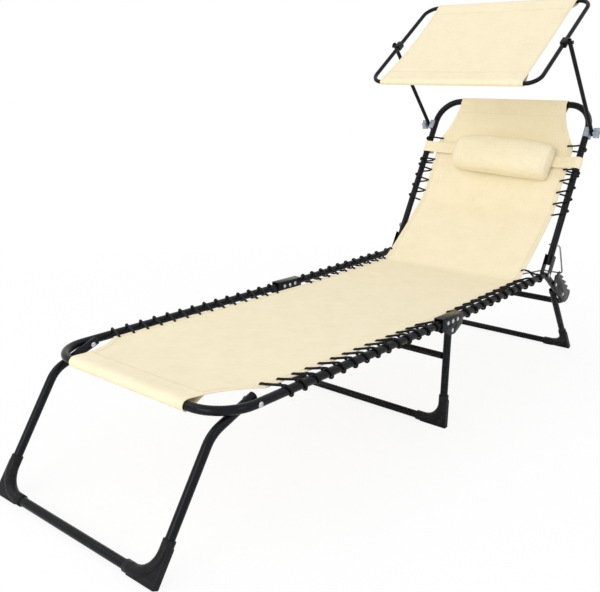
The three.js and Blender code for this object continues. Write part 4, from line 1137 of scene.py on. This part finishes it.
def add_fittings():
    for word, _ in SIDES:
        for name, body in RIVETS.items():
            add_rivet(f"{name}_{word}", body)
        for name, *dressing in FITTINGS:
            softened(f"{name}_{word}", *dressing)


def add_recline_wire():
    pin = back_row.at(0, WIRE_ALONG)
    notch = hinge + Vector((0, *NOTCH))
    bow = notch + Vector((0, *WIRE_BOW))
    side = [
        side_view(pin, WIRE_PIN_IN_X),
        side_view(pin, WIRE_OUT_X),
        side_view(notch, WIRE_OUT_X),
        side_view(notch, WIRE_STEP_X),
        side_view(bow, WIRE_MIDDLE_X),
    ]
    bends = [0, WIRE_BEND, WIRE_BEND, WIRE_BOW_BEND, WIRE_BOW_BEND]
    path = rounded(side + mirrored(side[::-1]), bends + bends[::-1])
    piece = rod("recline_bail_fine", path, WIRE_RADIUS, WIRE_SIDES, wire)
    dress(piece, "bail", "wire", "recline_bail")


def add_knob(word, side):
    node = "canopy_knob_" + word
    middle = centre(node)
    out_x = max(abs(corner[0]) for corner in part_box(node))
    vertices = []
    for depth, share in KNOB_LAYER_SHARES:
        wave = KNOB_WAVE * min(1, share * KNOB_WAVE_SHARE)
        for k in range(KNOB_SEGMENTS):
            a = math.tau * k / KNOB_SEGMENTS
            r = share * (KNOB_MEAN + wave * math.cos(KNOB_LOBES * a))
            x = (out_x - depth) * side
            vertices.append(Vector((x, middle.y + r * math.cos(a), middle.z + r * math.sin(a))))
    faces = skin(range(0, len(vertices), KNOB_SEGMENTS), KNOB_SEGMENTS, flip=side < 0)
    knob = mesh_piece(node + "_fine", vertices, faces, knob_plastic, sharp=SHARP_TURNED)
    dress(knob, word + "_knob", "knobs", node)
    ends = sorted((KNOB_SHANK_START * side, (out_x - KNOB_SHANK_END) * side))
    profile = [(x, KNOB_SHANK_RADIUS) for x in ends]
    shank = turned(f"knob_shank_{word}", profile, side_view(middle), bright)
    shank.parent = knob
    shank.matrix_parent_inverse = knob.matrix_world.inverted()


# Sling


def foot_level(along):
    return FOOT_RISE * (1 - along / FOOT_LENGTH) - SLING_DROP


def scoop_level(share, base, top):
    """The cloth's height next to a hem, from the bar's top at share 0 to the cloth's own level at 1."""
    return base + (top - base) * (1 - share) ** SCOOP_FALL_POWER


def sling_corners():
    """Where the cloth leaves the seat's plane, and where it meets the back's."""
    low = seat_row.at(0, SEAT_LENGTH - SEAT_CORNER_BEFORE_HINGE, -SLING_DROP)
    high = back_row.at(0, BACK_LINE_START, -SLING_DROP)
    return low, high


def sling_line():
    """The middle line of the whole sling in the side view, from under the front bar to the head's."""
    front_wrap = RAIL_RADIUS + HEM_CLEAR
    head_wrap = UPRIGHT_RADIUS + HEM_CLEAR
    low, high = sling_corners()
    line = half_round(foot_row, 0, front_wrap, -math.pi / 2, WRAP_STEPS)[:-1]
    for share in SCOOP_SHARES:
        up = scoop_level(share, foot_level(FRONT_SCOOP), front_wrap)
        line.append(foot_row.at(0, share * FRONT_SCOOP, up))
    for share in FOOT_LINE_SHARES:
        along = share * FOOT_LENGTH
        line.append(foot_row.at(0, along, foot_level(along)))
    line += [seat_row.at(0, along, -SLING_DROP) for along in SEAT_LINE_ALONGS]
    start = seat_row.at(0, SEAT_FLAT_END, -SLING_DROP)
    end = back_row.at(0, BACK_FLAT_START, -SLING_DROP)
    line += rounded([start, low, high, end], [0, SEAT_CORNER_BEND, BACK_CORNER_BEND, 0])
    for share in reversed(SCOOP_SHARES):
        up = scoop_level(share, -SLING_DROP, head_wrap)
        line.append(back_row.at(0, BACK_LENGTH - share * HEAD_SCOOP, up))
    return line + half_round(back_row, BACK_LENGTH, head_wrap, math.pi / 2, WRAP_STEPS)[1:]


def side_normals(line):
    """The normals of a line in the side view, one for each point."""
    ends = [line[0], *line, line[-1]]
    tangents = [(after - before).normalized() for before, after in zip(ends, ends[2:])]
    return [Vector((0, -t.z, t.y)) for t in tangents]


def clamp(value, low=0.0, high=1.0):
    return max(low, min(high, value))


def scallop(along, laces):
    start, pitch, count = laces[:3]
    if not start < along < start + pitch * (count - 1):
        return 0.0
    return SCALLOP * math.sin(math.pi * (along - start) / pitch) ** 2


def scooped(hem_half, share, power):
    return SLING_HALF - (SLING_HALF - hem_half) * (1 - share**power)


def front_hold(point):
    """0 at the front bar and 1 past its scoop."""
    return clamp(foot_row.reach(point) / FRONT_SCOOP)


def head_hold(point):
    """0 at the head bar and 1 before its scoop."""
    along = back_row.reach(point)
    return clamp((BACK_LENGTH - along) / HEAD_SCOOP) if along >= BACK_LINE_START else 1.0


def in_end_hem(point):
    past_front = foot_row.reach(point) >= HEM_LENGTH
    return not past_front or back_row.reach(point) > BACK_LENGTH - HEM_LENGTH


def sling_half(point):
    """Half of the sling's width at a point of its line."""
    foot_along = foot_row.reach(point)
    back_along = back_row.reach(point)
    if foot_along < FOOT_LENGTH:
        half = scooped(FRONT_HEM_HALF, front_hold(point), FRONT_SCOOP_POWER)
        return half - scallop(foot_along, FOOT_LACES)
    if back_along > BACK_LINE_START:
        half = scooped(HEAD_HEM_HALF, head_hold(point), HEAD_SCOOP_POWER)
        return half - scallop(back_along, BACK_LACES)
    return SLING_HALF - scallop(seat_row.reach(point), SEAT_LACES)


def shares_across():
    edge = 1 - SIDE_HEM / SLING_HALF
    rim = (edge + HEM_LEDGE, RIM_SHARE, 1)
    return [*(-share for share in reversed(rim)), *(edge * s for s in even_shares(ACROSS)), *rim]


def sling_grid(line, normals):
    """Rows of places, thicknesses and uvs for a stretch of the sling."""
    grid, thick, uvs = [], [], []
    shares = shares_across()
    side_hem = 1 - SIDE_HEM / SLING_HALF
    for p, normal in zip(line, normals):
        hold = front_hold(p) * head_hold(p)
        half = sling_half(p)
        end_hem = in_end_hem(p)
        off = SLING_OFF_CENTRE * hold
        grid.append(sagging_row(p, normal, half, shares, SLING_SAG * hold, off))
        thick.append([CLOTH + HEM_EXTRA * (end_hem or abs(share) > side_hem) for share in shares])
        uvs.append([(half * share, p.y + p.z) for share in shares])
    return grid, thick, uvs


def nearest(line, place):
    return min(range(len(line)), key=lambda i: (line[i] - place).length)


def add_sling():
    line = smooth_line(sling_line(), STATION)
    low, high = sling_corners()
    split = low.lerp(high, DIAGONAL_SPLIT_SHARE)
    at_fold, at_split = nearest(line, fold), nearest(line, split)
    fold_start = foot_row.at(0, FOOT_LENGTH - FOLD_CLOTH_REACH)
    fold_end = seat_row.at(0, FOLD_CLOTH_REACH)
    foot_bend = ("foot_section", "middle_leg", fold_start, fold)
    seat_bend = ("middle_leg", "seat_section", fold, fold_end)
    back_bend = ("seat_section", "backrest", split, high)
    for name, stretch, bend, rest in (
        ("foot_sling", line[: at_fold + 1], foot_bend, "foot_rails_fine"),
        ("seat_sling", line[at_fold : at_split + 1], seat_bend, "seat_rails_fine"),
        ("back_sling", line[at_split:], back_bend, "back_frame_fine"),
    ):
        normals = side_normals(stretch)
        grid, thick, uvs = sling_grid(stretch, normals)
        piece = cloth_piece(name + "_cloth", grid, thick, sling_canvas, uvs)
        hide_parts(name)
        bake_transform(piece)
        steps = list(zip(stretch, stretch[1:]))
        area = sum((b - a).length * (sling_half(a) + sling_half(b)) for a, b in steps)
        stitches = stitch_piece(name + "_stitches", sling_seams(stretch, grid, normals))
        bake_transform(stitches)


def sling_seams(stretch, grid, normals):
    """The seams of one part of the sling: along both side hems, and across each end hem."""
    lines = []
    for side in (1, -1):
        line = []
        for p, row, normal in zip(stretch, grid, normals):
            if in_end_hem(p):
                continue
            edge = row[-1] if side > 0 else row[0]
            x = edge.x - side * STITCH_FROM_EDGE
            top = row[len(row) // 2].lerp(edge, abs(x / edge.x) ** 3)
            line.append((Vector((x, top.y, top.z)) + normal * SEAM_LIFT, normal))
        lines.append(line)
    for i in range(1, len(stretch)):
        if in_end_hem(stretch[i - 1]) != in_end_hem(stretch[i]):
            lines.append([(p + normals[i] * SEAM_LIFT, normals[i]) for p in grid[i]])
    return lines


def add_hem_flaps():
    """The turned-back cloth under each end of the sling."""
    front_wrap = RAIL_RADIUS + HEM_CLEAR
    head_wrap = UPRIGHT_RADIUS + HEM_CLEAR
    drop = 2 * CLOTH + HEM_EXTRA
    top = scoop_level(HEM_LENGTH / FRONT_SCOOP, foot_level(FRONT_SCOOP), front_wrap) - drop
    front = [
        foot_row.at(0, HEM_LENGTH, top),
        foot_row.at(0, HEM_SHORT, -front_wrap * HEM_SHORT_SHARE),
        foot_row.at(0, 0, -front_wrap),
    ]
    top = scoop_level(HEM_LENGTH / HEAD_SCOOP, -SLING_DROP, head_wrap) - drop
    head = [
        back_row.at(0, BACK_LENGTH, -head_wrap),
        back_row.at(0, BACK_LENGTH - HEM_SHORT, -head_wrap * HEM_SHORT_SHARE),
        back_row.at(0, BACK_LENGTH - HEM_LENGTH, top),
    ]
    shares = even_shares(HEM_ACROSS)
    for name, line, half, body in (
        ("front_hem_flap", front, FRONT_HEM_HALF, "foot_section"),
        ("head_hem_flap", head, HEAD_HEM_HALF, "backrest"),
    ):
        line = even(line, HEM_STATION)
        grid = [[Vector((half * s, p.y, p.z)) for s in shares] for p in line]
        thick = [[CLOTH] * len(shares) for _ in line]
        uvs = [[(half * s, p.y + p.z) for s in shares] for p in line]
        piece = cloth_piece(name, grid, thick, sling_canvas, uvs)
        dress(piece, body, "sling")


def even_seam(line):
    """The seam's places at each stitch, with a normal for each."""
    places = even([p for p, n in line], STITCH_PITCH)
    count = len(line)
    out = []
    for k, place in enumerate(places):
        i = min(count - 1, round(k * (count - 1) / (len(places) - 1)))
        out.append((place, line[i][1]))
    return out


def stitch_piece(name, lines):
    """Short threads laid along lines of (place, normal)."""
    vertices, faces = [], []
    for line in lines:
        seam = even_seam(line)
        for (p, n), (q, _) in zip(seam, seam[1:]):
            s = (q - p).normalized().cross(n)
            start = len(vertices)
            for share, size in STITCH_SHAPE:
                place = p.lerp(q, share)
                for k in range(STITCH_SIDES):
                    a = math.tau * k / STITCH_SIDES
                    out = s * math.cos(a) + n * math.sin(a)
                    vertices.append(place + out * STITCH_RADIUS * size + n * STITCH_RISE)
            faces += skin(range(start, len(vertices), STITCH_SIDES), STITCH_SIDES)
    return mesh_piece(name, vertices, faces, thread)


# Lacing


def lace_level(row, along, rise):
    return rise + (foot_level(along) if row is foot_row else -SLING_DROP)


def lace_points(row, laces, tube_radius, shares, side, rise=0.0):
    """One cord from eyelet to eyelet, over the tube, round it and back under it."""
    start, pitch, count, right_x, left_x = laces
    wrap = tube_radius + LACE_RADIUS + LACE_CLEAR
    tube_x = RAIL_X + wrap * math.cos(LACE_TOP_ANGLE)
    tube_up = wrap * math.sin(LACE_TOP_ANGLE)
    top, bottom = shares
    points = []
    for k in range(count):
        base = start + k * pitch
        eyelet_x = right_x if side > 0 else left_x
        if row is foot_row and side > 0 and k < len(FIRST_INSETS):
            eyelet_x -= FIRST_INSETS[k]
        level = lace_level(row, base, rise)
        for x, share, up in LACE_HOLE:
            points.append(row.at(eyelet_x + x, base + share * pitch, level + up))
        eyelet = Vector((eyelet_x, base, level + LACE_HOLE[-1][2]))
        tube_top = Vector((tube_x, base + top * pitch, tube_up))
        lift = LAST_LACE_LIFT if rise else 0.0
        for share in LACE_OUT_SHARES:
            x, along, up = eyelet.lerp(tube_top, share)
            points.append(row.at(x, along, up + lift * (1 - share)))
        for i in range(LACE_STEPS + 1):
            share = i / LACE_STEPS
            a = LACE_TOP_ANGLE * (1 - 2 * share)
            along = base + pitch * (top + (bottom - top) * share)
            points.append(row.at(RAIL_X + wrap * math.cos(a), along, wrap * math.sin(a)))
        eyelet_x = right_x if side > 0 else left_x
        following = Vector((eyelet_x, base + pitch, lace_level(row, base + pitch, rise) - LACE_UNDER))
        tube_foot = Vector((tube_x, base + bottom * pitch, -tube_up))
        points += [row.at(*following.lerp(tube_foot, share)) for share in LACE_BACK_SHARES]
    return points


def add_lacing():
    last = (SEAT_LENGTH + LAST_LACE[0], *LAST_LACE[1:])
    foot_runs = [(foot_row, FOOT_LACES, RAIL_RADIUS, RAIL_LACE_SHARES, 0.0)]
    seat_runs = [
        (seat_row, SEAT_LACES, RAIL_RADIUS, RAIL_LACE_SHARES, 0.0),
        (seat_row, last, RAIL_RADIUS, LAST_LACE_SHARES, LAST_LACE_UP + SLING_DROP),
    ]
    back_laces = (BACK_LACES, END_LACE, HEAD_LACE)
    back_runs = [(back_row, laces, UPRIGHT_RADIUS, BACK_LACE_SHARES, 0.0) for laces in back_laces]
    for name, body, runs in (
        ("foot_lacing", "foot_section", foot_runs),
        ("seat_lacing", "seat_section", seat_runs),
        ("back_lacing", "backrest", back_runs),
    ):
        for word, side in SIDES:
            vertices, faces, uvs = [], [], []
            for row, laces, radius, shares, rise in runs:
                path = smooth_line(lace_points(row, laces, radius, shares, side, rise), LACE_STEP)
                path = path if side > 0 else mirrored(path)
                more, more_faces, more_uvs = swept(path, LACE_RADIUS, CORD_SIDES)
                faces += [tuple(len(vertices) + i for i in face) for face in more_faces]
                vertices += more
                uvs += more_uvs
            piece = mesh_piece(f"{name}_{word}_cord", vertices, faces, cord_black, uvs)
            dress(piece, body, "lacing", f"{name}_{word}")


# Pillow and straps


def swelled(value):
    return math.copysign(abs(value) ** PILLOW_SQUARE_POWER, value)


def on_pillow(x, along, up):
    """A place on the pillow, which lies turned and off the middle on the back's cloth."""
    c, s = math.cos(PILLOW_TURN), math.sin(PILLOW_TURN)
    turned_x = PILLOW_OFF_CENTRE + x * c - along * s
    turned_along = PILLOW_ALONG + x * s + along * c
    return back_row.at(turned_x, turned_along, PILLOW_REST + up)


def pillow_direction(x, along, up):
    return (on_pillow(x, along, up) - on_pillow(0, 0, 0)).normalized()


def pillow_mesh():
    """A closed pillow from rings of a rounded outline, one for each layer across."""
    layers = [(-share, tall, thick) for share, tall, thick in reversed(PILLOW_SHAPE)]
    layers += PILLOW_SHAPE[1:]
    vertices = []
    for x_share, tall, thick in layers:
        for k in range(PILLOW_AROUND):
            a = math.tau * k / PILLOW_AROUND
            along = PILLOW_TALL / 2 * tall * swelled(math.cos(a))
            up = PILLOW_THICK * thick * max(swelled(math.sin(a)), 0.0)
            vertices.append(on_pillow(PILLOW_HALF * x_share, along, up))
    faces = skin(range(0, len(vertices), PILLOW_AROUND), PILLOW_AROUND, flip=True)
    piece = mesh_piece("head_pillow_soft", vertices, faces, pillow_canvas, sharp=SHARP_NOWHERE)
    shape = bmesh.new()
    shape.from_mesh(piece.data)
    bmesh.ops.remove_doubles(shape, verts=shape.verts, dist=WELD)
    bmesh.ops.recalc_face_normals(shape, faces=shape.faces)
    shape.to_mesh(piece.data)
    shape.free()
    return piece


def apply_modifiers(piece):
    graph = bpy.context.evaluated_depsgraph_get()
    fresh = bpy.data.meshes.new_from_object(piece.evaluated_get(graph))
    piece.modifiers.clear()
    piece.data = fresh


def inflate(piece):
    """Blows the pillow up as cloth, with each point held to a short move."""
    remesh = piece.modifiers.new("remesh", "REMESH")
    remesh.mode = "VOXEL"
    remesh.voxel_size = PILLOW_VOXEL
    apply_modifiers(piece)
    before = np.array([v.co for v in piece.data.vertices])
    cloth = piece.modifiers.new("cloth", "CLOTH")
    cloth.settings.use_pressure = True
    cloth.settings.uniform_pressure_force = PILLOW_PRESSURE
    cloth.settings.effector_weights.gravity = 0
    cloth.settings.tension_stiffness = PILLOW_STIFFNESS
    cloth.settings.compression_stiffness = PILLOW_STIFFNESS
    cloth.settings.bending_stiffness = PILLOW_BENDING
    for step in range(1, SIM_FRAMES + 1):
        bpy.context.scene.frame_set(step)
    apply_modifiers(piece)
    bpy.context.scene.frame_set(1)
    after = np.array([v.co for v in piece.data.vertices])
    move = after - before
    size = np.linalg.norm(move, axis=1)[:, None]
    move *= np.minimum(1, PILLOW_CAP / np.maximum(size, 1e-9))
    piece.data.vertices.foreach_set("co", (before + move).astype(np.float32).ravel())
    smooth = piece.modifiers.new("smooth", "SUBSURF")
    smooth.levels = 1
    smooth.render_levels = 1
    apply_modifiers(piece)


def seat_pillow(piece):
    """Flattens the back of the pillow where it rests on the sling."""
    for v in piece.data.vertices:
        up = (v.co - back_row.start).dot(back_row.up)
        if up < PILLOW_REST:
            v.co += back_row.up * (PILLOW_REST - up)
    piece.data.update()


def surface_line(tree, rays):
    """The places where rays (start, direction) leave the pillow."""
    places = [tree.ray_cast(*ray)[0] for ray in rays]
    return [place for place in places if place is not None]


def add_piping(mesh):
    """The piping round both ends of the pillow and the seam along its lower side."""
    faces = [tuple(face.vertices) for face in mesh.polygons]
    tree = BVHTree.FromPolygons([v.co for v in mesh.vertices], faces)
    angles = [math.tau * k / PIPING_STEPS for k in range(PIPING_STEPS)]
    round_end = [pillow_direction(0, math.cos(a), math.sin(a)) for a in angles]
    for word, side in SIDES:
        middle = on_pillow(SEAM_X * side, 0, PILLOW_THICK * SEAM_HEART_SHARE)
        ring = surface_line(tree, [(middle, direction) for direction in round_end])
        piping = rod(f"pillow_piping_{word}", ring, PIPING, PIPING_SIDES, shaded_hem_canvas, closed=True)
        dress(piping, "backrest", "pillow")
    down = pillow_direction(0, -1, 0)
    starts = [on_pillow(SEAM_X * share, 0, LONG_SEAM_UP) for share in even_shares(LONG_SEAM_STEPS)]
    seam = surface_line(tree, [(start, down) for start in starts])
    piping = rod("pillow_seam", seam, LONG_SEAM, LONG_SEAM_SIDES, shaded_hem_canvas)
    dress(piping, "backrest", "pillow")


def add_pillow():
    piece = pillow_mesh()
    inflate(piece)
    seat_pillow(piece)
    piece.data.shade_smooth()
    piece.data.materials.clear()
    piece.data.materials.append(pillow_canvas)
    dress(piece, "backrest", "pillow", "head_pillow")
    add_piping(piece.data)


def strap_line(side):
    """The strap's path as (x, up), from the pillow's end, round the upright and back behind it."""
    start = PILLOW_HALF + side * PILLOW_OFF_CENTRE - STRAP_TUCK
    line = [(start, STRAP_REST)]
    line += [(start + share * (RAIL_X - start), up) for share, up in STRAP_RISE_SHARES]
    for k in range(STRAP_STEPS + 1):
        a = STRAP_ROUND_START - STRAP_ROUND_TURN * k / STRAP_STEPS
        line.append((RAIL_X + STRAP_RADIUS * math.cos(a), STRAP_RADIUS * math.sin(a)))
    return [Vector((x, up, 0)) for x, up in (*line, (STRAP_BACK_X, -STRAP_RADIUS))]


def add_straps():
    across = [STRAP_WIDTH * k / STRAP_COLUMNS for k in range(STRAP_COLUMNS + 1)]
    for word, side in SIDES:
        places = smooth_line(strap_line(side), STRAP_STEP)
        lengths = lengths_along(places)
        top = STRAP_ALONG + side * (STRAP_WIDTH - STRAP_SLANT) / 2
        grid = [[back_row.at(p.x * side, top - side * a, p.y) for a in across] for p in places]
        thick = [[STRAP_CLOTH] * len(across) for _ in places]
        uvs = [[(length, a) for a in across] for length in lengths]
        piece = cloth_piece(f"pillow_strap_{word}_band", grid, thick, sling_canvas, uvs)
        dress(piece, "backrest", "pillow", f"pillow_strap_{word}")


# Canopy


def add_canopy():
    ends = (-CANOPY_HALF_LENGTH, CANOPY_HALF_LENGTH)
    corners = u_corners(canopy_row, CANOPY_HALF_WIDTH, *ends)
    path = rounded(corners, CANOPY_CORNER, closed=True)
    tube("canopy_frame", "canopy", path, CANOPY_RADIUS, closed=True)
    up = (canopy_pin - strut_foot).normalized()
    start = strut_foot - up * STRUT_PAST_PIVOT
    end = canopy_pin + up * STRUT_PAST_PIVOT
    for word, side in SIDES:
        path = even([side_view(p, STRUT_X * side) for p in (start, end)], STRUT_STEP)
        tube(f"canopy_strut_{word}", "canopy_arms", path, CANOPY_RADIUS)
    add_canopy_cloth()


def canopy_rest(along):
    """1 in the middle of the canopy's length and 0 at its bars."""
    return 1 - (along / CANOPY_HALF_LENGTH) ** 2


def canopy_line():
    """The cloth's line in the side view, round both bars, from one turned hem to the other."""
    wrap = CANOPY_RADIUS + CANOPY_HEM_CLEAR
    end = CANOPY_HALF_LENGTH
    flap = end - CANOPY_HEM
    flap_up = wrap - CANOPY_SAG * canopy_rest(flap) - 2 * CLOTH - HEM_EXTRA
    alongs = [end * (k / CANOPY_HALF_STEPS - 1) for k in range(1, 2 * CANOPY_HALF_STEPS)]
    return [
        canopy_row.at(0, -flap, flap_up),
        *half_round(canopy_row, -end, wrap, -math.pi / 2, CANOPY_WRAP_STEPS),
        *(canopy_row.at(0, along, wrap - CANOPY_SAG * canopy_rest(along)) for along in alongs),
        *half_round(canopy_row, end, wrap, math.pi / 2, CANOPY_WRAP_STEPS),
        canopy_row.at(0, flap, flap_up),
    ]


def add_canopy_cloth():
    line = smooth_line(canopy_line(), CANOPY_STATION)
    lengths = lengths_along(line)
    normals = side_normals(line)
    shares = even_shares(CANOPY_ACROSS)
    side_hem = 1 - CANOPY_SIDE_HEM / CANOPY_CLOTH_HALF
    grid, thick, uvs, tops = [], [], [], []
    for i, (p, normal, length) in enumerate(zip(line, normals, lengths)):
        along = canopy_row.reach(p)
        rest = clamp(canopy_rest(along))
        half = CANOPY_CLOTH_HALF - CANOPY_WAIST * rest
        in_hem = abs(along) > CANOPY_HALF_LENGTH - CANOPY_HEM
        grid.append(sagging_row(p, normal, half, shares, CANOPY_SAG_ACROSS * rest))
        thick.append([CLOTH + HEM_EXTRA * (in_hem or abs(share) > side_hem) for share in shares])
        uvs.append([(half * share, length) for share in shares])
        if not in_hem and normal.dot(canopy_row.up) > TOP_FACING:
            tops.append(i)
    piece = cloth_piece("canopy_sheet", grid, thick, sling_canvas, uvs)
    dress(piece, "canopy", "sling", "canopy_cloth")
    lines = []
    for i in (tops[0], tops[-1]):
        lines.append([(p + normals[i] * SEAM_LIFT, normals[i]) for p in grid[i]])
    dress(stitch_piece("canopy_stitches", lines), "canopy", "sling")


add_camera()
add_world()
add_floor()
add_lights()
add_frame_tubes()
add_legs()
add_boots()
add_leg_caps()
add_fittings()
add_recline_wire()
for knob_word, knob_side in SIDES:
    add_knob(knob_word, knob_side)
add_sling()
add_hem_flaps()
add_lacing()
add_pillow()
add_straps()
add_canopy()
